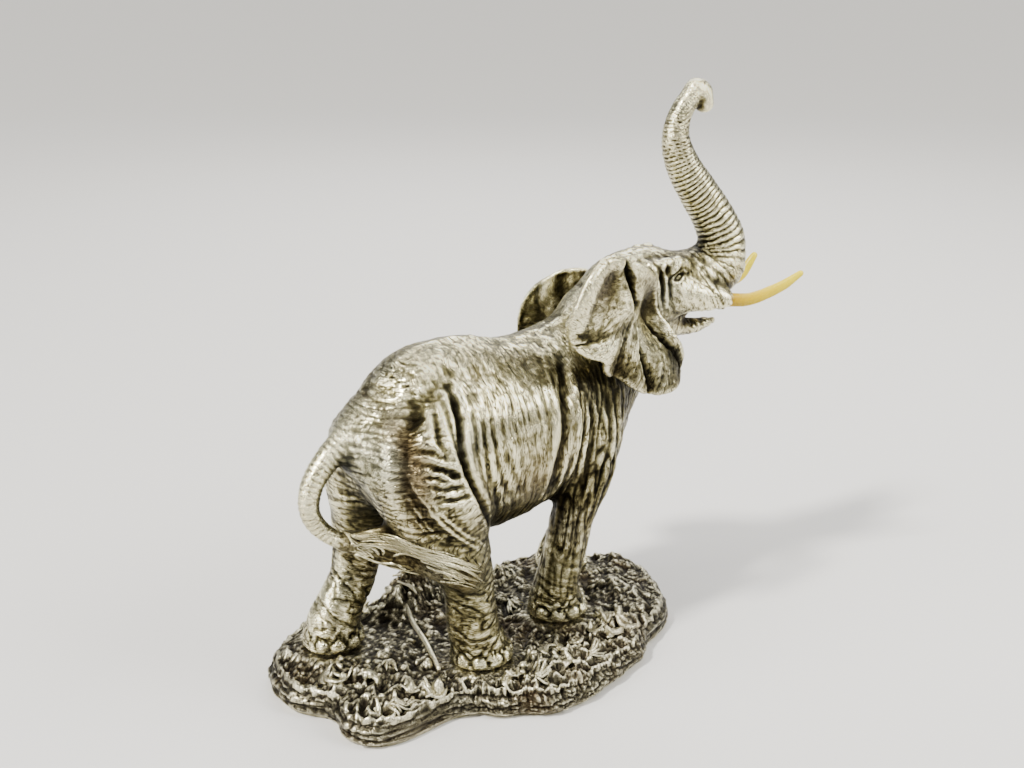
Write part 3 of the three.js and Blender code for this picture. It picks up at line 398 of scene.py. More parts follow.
# ------------------------------------------------------------------ folds drawn on the skin
# depth (minus stands proud), half width, points along the fold
FOLDS = [
    # hollow that curves down in front of the buttock
    (2.1, 4.2, [[-24, -19, 159], [-34, -21.5, 154], [-44, -23, 147], [-52, -29, 140], [-56.5, -34.5, 132], [-58.5, -36, 122], [-56, -38, 111], [-50.5, -41, 100], [-43, -43, 92]]),
    # groin crease from the hip to the front of the knee
    (3, 2.2, [[-25.8, -23, 155], [-27.3, -32, 143], [-29.8, -38.4, 132], [-29.3, -41, 121], [-22.7, -41, 106], [-15.3, -37, 93]]),
    (1.5, 1.5, [[-31, -24, 152], [-31.7, -31.5, 144], [-33, -37, 136], [-33, -40, 127]]),
    (1.2, 1.4, [[-37, -27, 149], [-39, -32, 143], [-41, -36, 137], [-40, -39, 131]]),
    # pads across the thigh
    (1.01, 1.4, [[-51.6, -35, 136], [-47, -38, 134], [-41.3, -40.2, 130.6]]),
    (1.37, 1.6, [[-53.6, -37.6, 130], [-47.7, -40.3, 128], [-40.5, -42, 124.4], [-33.4, -42.3, 120]]),
    (1.15, 1.3, [[-52.7, -39, 125.3], [-46, -41.7, 122.6], [-39.4, -43.2, 119.4]]),
    (1.01, 1.3, [[-49.6, -41.2, 119.6], [-43.2, -43.2, 117.6], [-34, -43.2, 116.5]]),
    (0.86, 1.3, [[-46.8, -43, 114.3], [-40.4, -44.4, 112.5], [-31.2, -43.6, 111.5]]),
    # tendons that run down to the shin
    (-1.2, 1.1, [[-56.7, -37.2, 121.5], [-52.5, -40.7, 113.6], [-47.2, -43.3, 104.5], [-39.2, -44.6, 95.4], [-26.2, -43.9, 84.3]]),
    (-0.96, 1.0, [[-53, -39.4, 119], [-49, -42, 112], [-43.5, -44.4, 104], [-34, -45, 94], [-21.8, -42.5, 84.4]]),
    (-0.88, 1.0, [[-58.6, -35.8, 116], [-55.2, -39, 108], [-50, -41.5, 99], [-42, -43.2, 90]]),
    (-0.72, 0.9, [[-57, -36, 108], [-52, -40, 99], [-46, -42, 92]]),
    # wrinkles fanning out of the groin over the flank
    (0.69, 1.6, [[-23.9, -32.6, 142], [-24.6, -38, 130], [-23, -40, 116.6], [-16.7, -38, 100.5]]),
    (0.66, 1.5, [[-19.8, -32, 144], [-21, -38, 130], [-19.8, -39.5, 117], [-13, -37, 100]]),
    (0.62, 1.5, [[-15.6, -32.6, 144], [-17.2, -37, 132], [-16.5, -38.7, 118], [-9.8, -35.7, 99.7]]),
    (0.5, 1.4, [[-11.3, -35, 140], [-11.8, -38.4, 126.6], [-8.5, -38.6, 112.2], [-0.8, -35.2, 98]]),
    (0.35, 1.3, [[-7, -34, 142], [-7, -38, 130], [-3, -38.6, 116], [4, -36, 102]]),
    # folds between the barrel and the shoulder
    (2.09, 3.0, [[40, -20, 154], [34, -30.5, 142], [32, -35.3, 131], [29.3, -37.3, 119.7], [26, -37, 107.5], [25, -31, 93.4]]),
    (0.81, 1.8, [[37.8, -31, 140], [36, -36, 124], [34, -36.2, 110.5], [35, -30, 92]]),
    (0.71, 1.6, [[43, -30, 140], [42.5, -35, 124], [40.5, -34, 106], [38.5, -30, 88]]),
    (0.9, 1.9, [[47.7, -29.6, 139.5], [49, -34.3, 120], [47, -33, 100], [43, -31, 80]]),
    (0.62, 1.5, [[53, -30, 137], [53.5, -35, 119], [51, -35, 99], [46.5, -33, 80]]),
    (0.71, 1.6, [[58.7, -31, 135], [58, -35.6, 118], [54.4, -35, 99], [49.5, -33.4, 80]]),
    (0.62, 1.5, [[64, -30, 132], [63.5, -34, 116], [60, -34, 100], [55, -32, 84]]),
    (0.48, 1.6, [[36, -16, 156.6], [30, -27, 147], [23.5, -34.6, 136]]),
]
EYE_R, EYE_L = (36.7, -16.5, 181.6), (36.7, 16.5, 181.6)     # in the head's frame


def fold_relief(P):
    out = np.zeros(len(P), F32)
    for depth, width, pts in FOLDS:
        c = cubic(pts, 4)
        m = np.nonzero(np.all((P > c.min(0) - 4 * width) & (P < c.max(0) + 4 * width), 1))[0]
        if not len(m):
            continue
        X = P[m]
        best, at = np.full(len(m), 1e9), np.zeros(len(m))
        for i in range(len(c) - 1):
            d = c[i + 1] - c[i]
            t = np.clip(((X - c[i]) @ d) / (d @ d), 0, 1)
            r = np.linalg.norm(X - c[i] - t[:, None] * d, axis=1)
            k = r < best
            best[k] = r[k]
            at[k] = (i + t[k]) / (len(c) - 1)
        taper = np.sqrt(np.clip(np.sin(np.pi * np.clip(at, 0.03, 0.97)) * 1.5, 0, 1))
        v = -depth * np.exp(-(best / width) ** 2)
        if depth > 0:
            v += 0.36 * depth * np.exp(-((best - 2.0 * width) / width) ** 2)
        out[m] += v * taper
    return out


def nails(P, centre, heading, radius, sole):
    """Toenails round the front of a foot."""
    dx, dy = P[:, 0] - centre[0], P[:, 1] - centre[1]
    r, a = np.hypot(dx, dy), np.arctan2(dy, dx) - heading
    a = (a + np.pi) % (2 * np.pi) - np.pi
    out = np.zeros(len(P), F32)
    for q, size in ((-148, 2.9), (-113, 3.1), (-78, 3.1), (-44, 3.3), (-12, 3.6), (21, 3.6), (54, 3.2), (86, 2.8)):
        w = (a - math.radians(q)) * radius / size
        v = (P[:, 2] - sole - 3.4) / 3.2
        out += 0.95 * np.exp(-(w * w) ** 2 - (v * v) ** 2) - 0.55 * np.exp(-((np.sqrt(w * w + v * v) - 1.3) / 0.25) ** 2)
    out += 1.3 * np.exp(-((P[:, 2] - sole - 2.5) / 4.5) ** 2) * (0.6 + 0.4 * np.cos(a))
    out += 0.8 * (pads(noise(sx(dx / 4, dy / 4, P[:, 2] / 4.5), 62), 0.4, 0.8) - 0.6) * np.exp(-((P[:, 2] - sole - 8) / 6) ** 2)
    return out * step(17, 12, P[:, 2] - sole) * (r > radius * 0.55)


def detail(P, N):
    """How far the skin stands out from the smooth form at each vertex, and where its tints lie: brown partly as painted
    shade, cool partly as a painted cool reflection.
    """
    P = P.astype(F32)
    n, x, y, z = len(P), P[:, 0], P[:, 1], P[:, 2]
    D, loc = np.full((n, len(FORMS)), 1e3, F32), {}
    for i, p in enumerate(FORMS):
        m = np.nonzero(np.all((P > p.lo - 7) & (P < p.hi + 7), 1))[0]
        if not len(m):
            continue
        full = p.at(P[m][:, None, :], None, True)
        D[m, i] = full[0]
        loc[p.name] = (m, full)
    near = D.min(1)
    W = np.exp(-np.clip(D - near[:, None], 0, 60) / 2.2)
    W /= W.sum(1)[:, None]
    col = {p.name: i for i, p in enumerate(FORMS)}
    w = lambda *names: sum(W[:, col[k]] for k in names)
    disp = np.zeros(n, F32)
    flow = np.zeros((n, 3), F32)
    wx, wy, wz = (noise(P / 19, s) * 2.6 for s in (1, 2, 3))
    fine = noise(P / 1.9, 4)

    # the barrel, back and rump
    body = w("torso", "pelvis", "chest", "neck")
    m = np.nonzero(body > 0.02)[0]
    X, Y, Z = x[m], y[m], z[m]
    xs = X + wx[m] + 0.0026 * (X - 12) * (130 - Z)
    side = np.clip((np.abs(Y) - 8) / 16, 0, 1)
    flank = pads(noise(sx(xs / 2.7, Y / 34, Z / 26), 5), 0.5, 0.8)
    flank2 = pads(noise(sx(xs / 5.4, Y / 40, Z / 40), 6), 0.45, 0.8)
    cross = pads(noise(sx(xs / 2.7 + Z / 9, Y / 7, Z / 11 - X / 14), 7), 0.5, 0.8)
    hatch = pads(noise(sx(X / 24 + 3, Y / 24, (Z + 0.25 * wz[m]) / 3.7), 8), 0.24, 0.9)
    diag = pads(noise(sx((X + Z * 0.8) / 3.0, Y / 3.6, (Z - X * 0.8) / 15), 9), 0.5, 0.8)
    rump = step(-22, -42, X)
    top = step(138, 154, Z)
    calm = bump(X, Z, 8, 121, 17, 19) * 0.85
    v = (1 - rump) * ((1 - top) * (0.42 * flank + 0.50 * flank2 + 0.10 * cross) * (1 - calm) + top * (0.16 * flank + 0.18 * diag + 0.10 * cross))
    v += rump * (0.40 * hatch + 0.10 * diag + 0.12 * flank)
    shoulder = step(28, 42, X) * (1 - top)
    v += shoulder * (0.40 * pads(noise(sx(xs / 3.4, Y / 9, Z / 22), 10), 0.45, 0.8) + 0.15 * cross)
    disp[m] += body[m] * (v - 0.45)
    flow[m] += body[m][:, None] * sx(xs * (1 - 0.9 * rump), Y * 0.09, Z * (0.09 + 0.9 * rump))
    # spine
    disp += body * 0.9 * np.exp(-(y / 3.2) ** 2) * step(150, 160, z) * (0.75 + 0.25 * np.sin(x * 0.62))

    def part(name):
        m, (d, s, a, b, r) = loc[name]
        return m, w(name)[m], s, a, b, r

    # legs
    for name, fore in (("leg_front_right", 1), ("leg_front_left", 1), ("leg_hind_right", 0), ("leg_hind_left", 0)):
        m, k, s, a, b, r = part(name)
        zz = z[m]
        th = np.arctan2(-a, b)
        chev = s + 3.2 * np.abs(np.sin(th * 0.5 + 0.4)) + 1.2 * wx[m]
        ring = pads(noise(sx(chev / 2.9, a / 11, b / 11), 12 + fore), 0.5, 0.8)
        ring2 = pads(noise(sx(chev / 5.2, a / 16, b / 16), 22 + fore), 0.42, 0.7)
        ca, sa = np.cos(s * 0.011), np.sin(s * 0.011)
        a2, b2 = a * ca - b * sa, a * sa + b * ca
        lon = pads(noise(sx(s / 22 + a2 / 9, a2 / 3.6, b2 / 3.6), 14), 0.5, 0.8)
        skinny = pads(noise(sx(s / 5, a / 3.2, b / 3.2), 15), 0.5, 0.8)
        hi = step(36, 58, zz) if fore else step(66, 96, zz)
        if fore:
            v = hi * ((0.75 + 0.35 * step(70, 95, zz)) * lon + 0.12 * skinny + 0.22 * ring2) + (1 - hi) * (0.25 * ring + 0.40 * ring2 + 0.3 * lon)
        else:
            hz = pads(noise(sx((zz + 0.4 * wz[m]) / 3.6, x[m] / 22, y[m] / 22), 16), 0.45, 0.7)
            hz2 = pads(noise(sx((x[m] + zz * 0.25) / 3.6, y[m] / 7, zz / 15), 17), 0.5, 0.8)
            v = hi * (0.42 * hz + 0.12 * hz2) + (1 - hi) * (0.22 * ring + 0.62 * pads(noise(sx((chev + 0.5 * a) / 5.2, (a + 0.2 * chev) / 12, b / 12), 31), 0.34, 0.8) + 0.15 * skinny)
        low = step(36, 27, zz)
        v = v * (1 - 0.45 * low)
        disp[m] += k * (v - 0.45)
        lead = hi if fore else hi * 0
        flow[m] += k[:, None] * sx(chev * (1 - lead) + s * 0.1 * lead, a2 * (0.12 + 0.85 * lead), b2 * (0.12 + 0.85 * lead))
    for c, h, r, sole in (((41, -18), -0.2, 14.6, SOLE_FRONT), ((75.5, 20), -0.1, 13.6, SOLE_FRONT), ((-13.7, -27.7), -0.25, 14.8, SOLE_HIND), ((-61.8, 27.7), 0.1, 14.4, SOLE_HIND)):
        q = np.nonzero((np.hypot(x - c[0], y - c[1]) < r + 6) & (z < sole + 18))[0]
        disp[q] += nails(P[q], c, h, r, sole)
    # knee of the right hind leg
    disp += 1.6 * np.exp(-((x + 31) / 7) ** 2 - ((y + 44) / 9) ** 2 - ((z - 104) / 8) ** 2)

    # trunk rings, smoother along the front
    m, k, s, a, b, r = part("trunk")
    pitch = 4.6 - 0.022 * s
    ph = s / pitch * np.pi + 0.8 * noise(sx(s / 9, a / 8, b / 8), 18) + 0.18 * a
    ring = np.abs(np.sin(ph)) ** 0.55
    ring2 = pads(noise(sx(s / 1.9, a / 7, b / 7), 19), 0.4)
    front = step(0.25, 0.95, -b / np.maximum(r, 1))
    disp[m] += k * ((1.15 * ring - 0.8) * (1 - 0.6 * front) + 0.16 * (ring2 - 0.6)) * np.clip(r / 9, 0.55, 1.1)
    flow[m] += k[:, None] * sx(s * 1.3, a * 0.2, b * 0.2)
    m, k, s, a, b, r = part("trunk_tip")
    flow[m] += k[:, None] * sx(s, a, b)
    # nostrils and the finger at the tip
    H = unhead(P)
    for side_ in (-1, 1):
        disp -= 2.2 * np.exp(-((H[:, 0] - 62.2) / 2.4) ** 2 - ((H[:, 1] - side_ * 2.1) / 1.3) ** 2 - ((H[:, 2] - 265.5) / 2.4) ** 2)

    # tail
    m, k, s, a, b, r = part("tail")
    ring = np.abs(np.sin(s / 2.5 * np.pi + 0.7 * noise(sx(s / 7, a / 5, b / 5), 20))) ** 0.6
    hair = pads(noise(sx(s / 22, a / 1.7, b / 1.7), 21), 0.5)
    tuft = step(62, 80, s)
    disp[m] += k * ((0.55 * ring - 0.4) * (1 - tuft) + (1.5 * hair - 0.7) * tuft)
    flow[m] += k[:, None] * sx(s * 1.6 * (1 - tuft) + s * 0.1 * tuft, a * (0.3 + tuft), b * (0.3 + tuft))

    # head
    hd = w("skull", "jaw", "socket_right", "socket_left", "brow_right", "brow_left")
    m = np.nonzero(hd > 0.02)[0]
    h, b_, hz = H[m, 0], H[m, 1], H[m, 2]
    dir1 = pads(noise(sx((h + wx[m]) / 2.9, b_ / 5.5, hz / 16), 23), 0.5, 0.8)
    dir2 = pads(noise(sx((h * 0.75 + hz * 0.65) / 2.8, b_ / 4.5, (hz * 0.75 - h * 0.65) / 12), 24), 0.5, 0.8)
    root = step(44, 56, h)
    ringr = pads(noise(sx((h + 0.55 * hz) / 3.0 + wz[m] * 0.1, b_ / 9, (hz - h) / 16), 25), 0.45, 0.7)
    disp[m] += hd[m] * ((0.24 * dir1 + 0.2 * dir2) * (1 - root) + root * 0.75 * ringr - 0.3)
    flow[m] += hd[m][:, None] * sx(h + 0.4 * hz, b_ * 0.4, hz * 0.3)
    for e in (EYE_R, EYE_L):
        dx, dz = (H[:, 0] - e[0]) / 1.6, (H[:, 2] - e[2] - 0.35 * (H[:, 0] - e[0])) / 0.7
        r = np.sqrt(dx * dx + dz * dz)
        on = np.exp(-((H[:, 1] - e[1]) / 7) ** 4) * hd
        disp += on * (0.35 * np.exp(-(r / 0.7) ** 2) - 0.70 * np.exp(-((r - 1.2) / 0.7) ** 2) + 0.30 * np.exp(-((r - 2.8) / 0.8) ** 2) * (0.6 + 0.6 * np.clip(dz / 2, -1, 1)) - 0.2 * np.exp(-((r - 4.2) / 0.8) ** 2))
        # bony ridge that slants up over the eye, and soft folds at the temple
        q = (H[:, 0] - e[0] + 3.0) * 0.72 - (H[:, 2] - e[2] - 4.6) * 0.69
        t = (H[:, 0] - e[0] + 3.0) * 0.69 + (H[:, 2] - e[2] - 4.6) * 0.72
        disp += on * (1.7 * np.exp(-(q / 1.5) ** 2 - (t / 6.5) ** 2) - 0.8 * np.exp(-((q + 3.2) / 1.5) ** 2 - (t / 7) ** 2))
        for off_, amp_ in ((9.5, 0.9), (14.0, 1.1), (19.0, 1.0)):
            q = H[:, 0] - e[0] + off_ + 0.22 * (H[:, 2] - e[2]) + 1.2 * np.sin(H[:, 2] * 0.23)
            disp += on * amp_ * (np.exp(-(q / 1.7) ** 2) - np.exp(-((q - 2.6) / 1.3) ** 2)) * np.exp(-((H[:, 2] - e[2] + 2) / 11) ** 2)
        # hollow of the temple
        disp -= on * 0.8 * np.exp(-((H[:, 0] - e[0] + 11) / 5) ** 2 - ((H[:, 2] - e[2] - 4) / 7) ** 2)
    # mouth line under the tusk sockets
    mouth = np.exp(-((H[:, 2] - 160.2 - 0.12 * (H[:, 0] - 50)) / 1.5) ** 2) * step(34, 46, H[:, 0]) * step(78, 66, H[:, 0])
    disp -= 1.8 * mouth * w("skull", "jaw", "socket_right", "socket_left")

    # ears
    for name in ("ear_right", "ear_left"):
        m, (d, u, v_, off, q) = loc[name]
        k = w(name)[m]
        pu, pv = u - 8, v_ - (14 if name == "ear_right" else 4)
        r, a = np.hypot(pu, pv), np.arctan2(pv, pu)
        vein = pads(noise(sx(a * 7.5 + 0.06 * r + 0.8 * np.sin(r * 0.15), r / 14, np.full(len(m), 0.37)), 26), 0.5, 0.8)
        web = pads(noise(sx(u / 3.4, v_ / 4.4, a), 27), 0.5, 0.8)
        disp[m] += k * ((0.24 if name == "ear_right" else 0.10) * (vein - 0.6) * np.clip(r / 14, 0, 1) + 0.14 * (web - 0.6))
        flow[m] += k[:, None] * sx(a * 22 + 2.6 * np.sin(r * 0.15), r * 0.22, off)
    disp += fold_relief(P)
    disp += 0.12 * fine
    back = step(-30, -44, x) * step(88, 100, z) * (body + w("leg_hind_right", "leg_hind_left"))
    level = pads(noise(sx(x / 30 + 3, y / 30, (z + 0.5 * wz) / 2.7), 32), 0.26, 0.9)
    upright = pads(noise(sx(x / 3.2, y / 3.2, z / 16), 33), 0.3, 0.9)
    disp += back * (0.40 * (level - 0.75) + 0.20 * (upright - 0.75))
    # small lumps under everything
    disp += 0.3 * noise(P / 7.5, 28) * (body + w("leg_front_right", "leg_front_left", "leg_hind_right", "leg_hind_left"))
    floor_ = np.where(x > 15, SOLE_FRONT, SOLE_HIND)
    disp *= step(-0.5, 1.5, z - floor_)
    # tints: brown as painted shade in the thigh hollow, on the lower side of the belly bulge and in the upper lobe of
    # the ear, plus a random brown tone
    brown_and_shade = 1.2 * bump(y, z, -36, 128, 60, 30) * np.exp(-((x + 54) / 7.5) ** 2) * step(-10, -22, y)
    brown_and_shade = np.maximum(brown_and_shade, 0.8 * np.exp(-((x - 12) / 15) ** 2 - ((z - 104) / 15) ** 2) * step(-18, -30, y))
    brown_and_shade = np.maximum(brown_and_shade, 0.7 * np.exp(-((x - 47) / 7) ** 2 - ((z - 192) / 11) ** 2) * step(-30, -38, y))
    brown_and_shade = np.maximum(brown_and_shade, 0.55 * np.clip(noise(P / 26, 29), 0, 1))
    # cool tint as a painted cool reflection on the rump and the temple, plus a random cool tone
    cool_and_reflection = np.exp(-((x + 66) / 10) ** 2 - ((z - 128) / 16) ** 2) * 0.9
    cool_and_reflection = np.maximum(cool_and_reflection, 0.8 * np.exp(-((H[:, 0] - 30) / 16) ** 2 - ((H[:, 2] - 172) / 10) ** 2) * w("skull"))
    cool_and_reflection = np.maximum(cool_and_reflection, 0.6 * np.clip(noise(P / 21, 30) - 0.1, 0, 1))
    return disp, flow, brown_and_shade, cool_and_reflection


# ------------------------------------------------------------------ meshes
def make_mesh(name, V, Q):
    me = bpy.data.meshes.new(name)
    V, Q = np.asarray(V, F32), np.asarray(Q, np.int32)
    me.vertices.add(len(V))
    me.vertices.foreach_set("co", V.ravel())
    me.loops.add(Q.size)
    me.loops.foreach_set("vertex_index", Q.ravel())
    me.polygons.add(len(Q))
    me.polygons.foreach_set("loop_start", np.arange(0, Q.size, Q.shape[1], dtype=np.int32))
    me.update(calc_edges=True)
    me.validate()
    o = bpy.data.objects.new(name, me)
    bpy.context.scene.collection.objects.link(o)
    return o


def arrays(me):
    V = np.empty(len(me.vertices) * 3, F32)
    me.vertices.foreach_get("co", V)
    E = np.empty(len(me.edges) * 2, np.int32)
    me.edges.foreach_get("vertices", E)
    N = np.empty(len(me.vertices) * 3, F32)
    me.vertices.foreach_get("normal", N)
    return V.reshape(-1, 3).astype(float), E.reshape(-1, 2), N.reshape(-1, 3).astype(float)


def thin(o, triangles):
    count = sum(len(p.vertices) - 2 for p in o.data.polygons)
    if count > triangles:
        mod = o.modifiers.new("thin", "DECIMATE")
        mod.ratio = triangles / count
        ev = o.evaluated_get(bpy.context.evaluated_depsgraph_get())
        me = bpy.data.meshes.new_from_object(ev)
        old = o.data
        o.modifiers.clear()
        o.data = me
        bpy.data.meshes.remove(old)
    return o


def smooth_by(V, E, times):
    deg = np.bincount(E.ravel(), minlength=len(V)).astype(float)[:, None]
    deg[deg == 0] = 1
    for _ in range(times):
        S = np.zeros_like(V)
        for k in range(V.shape[1]):
            S[:, k] = np.bincount(E[:, 0], V[E[:, 1], k], len(V)) + np.bincount(E[:, 1], V[E[:, 0], k], len(V))
        V = 0.5 * V + 0.5 * S / deg
    return V


def put(me, name, data):
    kind = "FLOAT_VECTOR" if data.ndim == 2 else "FLOAT"
    at = me.attributes.new(name, kind, "POINT")
    at.data.foreach_set("vector" if data.ndim == 2 else "value", np.asarray(data, F32).ravel())


def relief(o, fine, broad):
    """Writes how deep each vertex lies in its creases: 0 on the proud parts, 1 in the deepest."""
    V, E, N = arrays(o.data)
    V *= 1000
    a = ((smooth_by(V, E, 4) - V) * N).sum(1)
    b = ((smooth_by(V, E, 26) - V) * N).sum(1)
    put(o.data, "crease", 0.5 + 0.45 * np.tanh(0.5 * (a / fine + b / broad)))
    return V, E, N


def hollow(P, N, reach=7.0):
    """1 where other parts of the form crowd over a point, 0 where it lies open; used as painted shade."""
    X = (P + N * reach).astype(F32)
    d = np.full(len(X), 1e3, F32)
    for p in FORMS:
        m = np.nonzero(np.all((X > p.lo - reach) & (X < p.hi + reach), 1))[0]
        if len(m):
            d[m] = np.minimum(d[m], p.at(X[m][:, None, :])[:, 0])
    return 1 - np.clip(d / reach, 0, 1)


def shade(o, mat):
    o.data.materials.clear()
    o.data.materials.append(mat)
    o.data.polygons.foreach_set("use_smooth", np.ones(len(o.data.polygons), bool))
    o.data.update()


# ------------------------------------------------------------------ materials
class Nodes:
    def __init__(self, name):
        self.mat = bpy.data.materials.new(name)
        self.mat.use_nodes = True
        self.t = self.mat.node_tree
        self.bsdf = self.t.nodes["Principled BSDF"]

    def new(self, kind, **props):
        n = self.t.nodes.new(kind)
        for k, v in props.items():
            setattr(n, k, v)
        return n

    def link(self, a, b):
        self.t.links.new(a, b)

    def attr(self, name):
        return self.new("ShaderNodeAttribute", attribute_name=name)

    def noise(self, vec, scale, detail=4.0, rough=0.55):
        n = self.new("ShaderNodeTexNoise")
        n.inputs["Scale"].default_value = scale
        n.inputs["Detail"].default_value = detail
        n.inputs["Roughness"].default_value = rough
        if vec is not None:
            self.link(vec, n.inputs["Vector"])
        return n.outputs["Fac"]

    def ramp(self, fac, stops):
        n = self.new("ShaderNodeValToRGB")
        e = n.color_ramp.elements
        while len(e) < len(stops):
            e.new(0.5)
        for i, (p, c) in enumerate(stops):
            e[i].position = p
            e[i].color = (*c, 1) if len(c) == 3 else c
        self.link(fac, n.inputs["Fac"])
        return n.outputs["Color"]

    def mix(self, fac, a, b, kind="MIX"):
        n = self.new("ShaderNodeMix", data_type="RGBA", blend_type=kind)
        for v, s in ((fac, n.inputs[0]), (a, n.inputs[6]), (b, n.inputs[7])):
            if hasattr(v, "links"):
                self.link(v, s)
            elif isinstance(v, (int, float)):
                s.default_value = v
            else:
                s.default_value = (*v, 1)
        return n.outputs[2]

    def math(self, op, a, b=0.0, clamp=False):
        n = self.new("ShaderNodeMath", operation=op, use_clamp=clamp)
        for v, s in ((a, n.inputs[0]), (b, n.inputs[1])):
            if hasattr(v, "links"):
                self.link(v, s)
            else:
                s.default_value = v
        return n.outputs[0]

    def bump(self, height, strength, distance, normal=None):
        n = self.new("ShaderNodeBump")
        n.inputs["Strength"].default_value = strength
        n.inputs["Distance"].default_value = distance
        self.link(height, n.inputs["Height"])
        if normal is not None:
            self.link(normal, n.inputs["Normal"])
        return n.outputs["Normal"]


def bronze(name, pale, mid, low, dark, brown_and_shade, cool_and_reflection, stops, rough=0.36, scale=1.0):
    k = Nodes(name)
    pos = k.new("ShaderNodeNewGeometry").outputs["Position"]
    crease = k.attr("crease").outputs["Fac"]
    painted_shade = k.attr("painted_shade").outputs["Fac"]
    flow = k.attr("flow").outputs["Vector"]
    grain = k.noise(pos, 2400, 3)
    cloud = k.noise(pos, 60, 4)

    def crinkle(size, detail, width):
        """0 along the fine lines of the skin, 1 between them."""
        n = k.noise(flow, size * scale, detail, 0.55)
        return k.math("MULTIPLY", k.math("ABSOLUTE", k.math("SUBTRACT", n, 0.5)), 1 / width, True)
    coarse, small = crinkle(0.66, 1.5, 0.024), crinkle(1.35, 1.5, 0.045)
    # crease depth broken up by small lines and grain, so that the dark wash has a ragged edge
    c = k.math("SUBTRACT", crease, k.math("MULTIPLY", k.math("SUBTRACT", coarse, 0.87), 0.33))
    c = k.math("SUBTRACT", c, k.math("MULTIPLY", k.math("SUBTRACT", small, 0.87), 0.17))
    c = k.math("ADD", c, k.math("MULTIPLY", k.math("SUBTRACT", grain, 0.5), 0.25))
    c = k.math("ADD", c, k.math("MULTIPLY", k.math("SUBTRACT", cloud, 0.5), 0.06))
    # painted shade pushes the colour towards the dark end of the ramp
    c = k.math("ADD", c, k.math("MULTIPLY", painted_shade, 0.34))
    tone = k.ramp(c, [(stops[0], pale), (stops[1], mid), (stops[2], low), (stops[3], dark)])
    warm = k.ramp(c, [(stops[0], tuple(2.2 * v for v in brown_and_shade)), (stops[1], brown_and_shade), (stops[3], tuple(0.16 * v for v in brown_and_shade))])
    cold = k.ramp(c, [(stops[0], tuple(1.8 * v for v in cool_and_reflection)), (stops[1], cool_and_reflection), (stops[3], dark)])
    # brown tint, partly painted shade, and cool tint, partly a painted cool reflection, mixed over the patina tones
    tone = k.mix(k.math("MULTIPLY", k.attr("brown_and_shade").outputs["Fac"], 0.8, True), tone, warm)
    tone = k.mix(k.math("MULTIPLY", k.attr("cool_and_reflection").outputs["Fac"], 0.32, True), tone, cold)
    k.link(tone, k.bsdf.inputs["Base Color"])
    k.bsdf.inputs["Metallic"].default_value = 1.0
    k.link(k.ramp(c, [(0.2, (rough - 0.04,) * 3), (0.6, (rough + 0.06,) * 3), (0.95, (0.6,) * 3)]), k.bsdf.inputs["Roughness"])
    n = k.bump(coarse, 0.40, 0.0005)
    n = k.bump(small, 0.35, 0.00025, n)
    n = k.bump(k.noise(pos, 1300, 3), 0.3, 0.0002, n)
    k.link(n, k.bsdf.inputs["Normal"])
    return k.mat


def ivory(name):
    k = Nodes(name)
    pos = k.new("ShaderNodeNewGeometry").outputs["Position"]
    along = k.attr("along").outputs["Fac"]
    streak = k.noise(k.attr("flow").outputs["Vector"], 1.0, 4, 0.6)
    tone = k.ramp(along, [(0.0, (0.26, 0.13, 0.012)), (0.22, (0.42, 0.26, 0.003)), (0.55, (0.62, 0.45, 0.002)), (1.0, (0.76, 0.63, 0.012))])
    tone = k.mix(k.ramp(streak, [(0.45, (0, 0, 0)), (0.8, (0.5, 0.5, 0.5))]), tone, (0.45, 0.25, 0.05))
    k.link(tone, k.bsdf.inputs["Base Color"])
    k.link(k.ramp(k.noise(pos, 400, 3), [(0.3, (0.22,) * 3), (0.7, (0.34,) * 3)]), k.bsdf.inputs["Roughness"])
    k.bsdf.inputs["Specular IOR Level"].default_value = 0.3
    k.link(k.bump(streak, 0.25, 0.0003), k.bsdf.inputs["Normal"])
    return k.mat


def field(P):
    X = P.astype(F32)[:, None, :]
    d = np.full(len(P), 1e3, F32)
    for p in FORMS:
        d = smin(d, p.at(X)[:, 0], p.blend)
    return d


def onto_skin(P, lift):
    """Moves points along the field's slope until they lie lift above the form."""
    for _ in range(5):
        f, e = field(P), 0.25
        g = np.stack([field(P + np.eye(3)[i] * e) - f for i in range(3)], 1) / e
        P = P - g * ((f - lift) / np.maximum((g * g).sum(1), 0.2))[:, None]
    return P


def tube(path, radii, sides=6):
    T = np.gradient(path, axis=0)
    T /= np.linalg.norm(T, axis=1)[:, None]
    S = np.cross(T, np.array([0.3, 0.9, 0.2]))
    S /= np.linalg.norm(S, axis=1)[:, None]
    U = np.cross(T, S)
    q = np.arange(sides) * 2 * np.pi / sides
    V = (path[:, None, :] + (S[:, None, :] * np.cos(q)[None, :, None] + U[:, None, :] * np.sin(q)[None, :, None]) * radii[:, None, None]).reshape(-1, 3)
    F = []
    n = len(path)
    for i in range(n - 1):
        for j in range(sides):
            k = (j + 1) % sides
            a, b = i * sides + j, i * sides + k
            F += [[a, b, b + sides], [a, b + sides, a + sides]]
    V = np.vstack([V, path[:1], path[-1:]])
    for j in range(sides):
        k = (j + 1) % sides
        F += [[k, j, n * sides], [(n - 1) * sides + j, (n - 1) * sides + k, n * sides + 1]]
    F = np.array(F)
    a, b, c = V[F[:, 0]] - V[0], V[F[:, 1]] - V[0], V[F[:, 2]] - V[0]
    return (V, F) if (a * np.cross(b, c)).sum() > 0 else (V, F[:, ::-1])


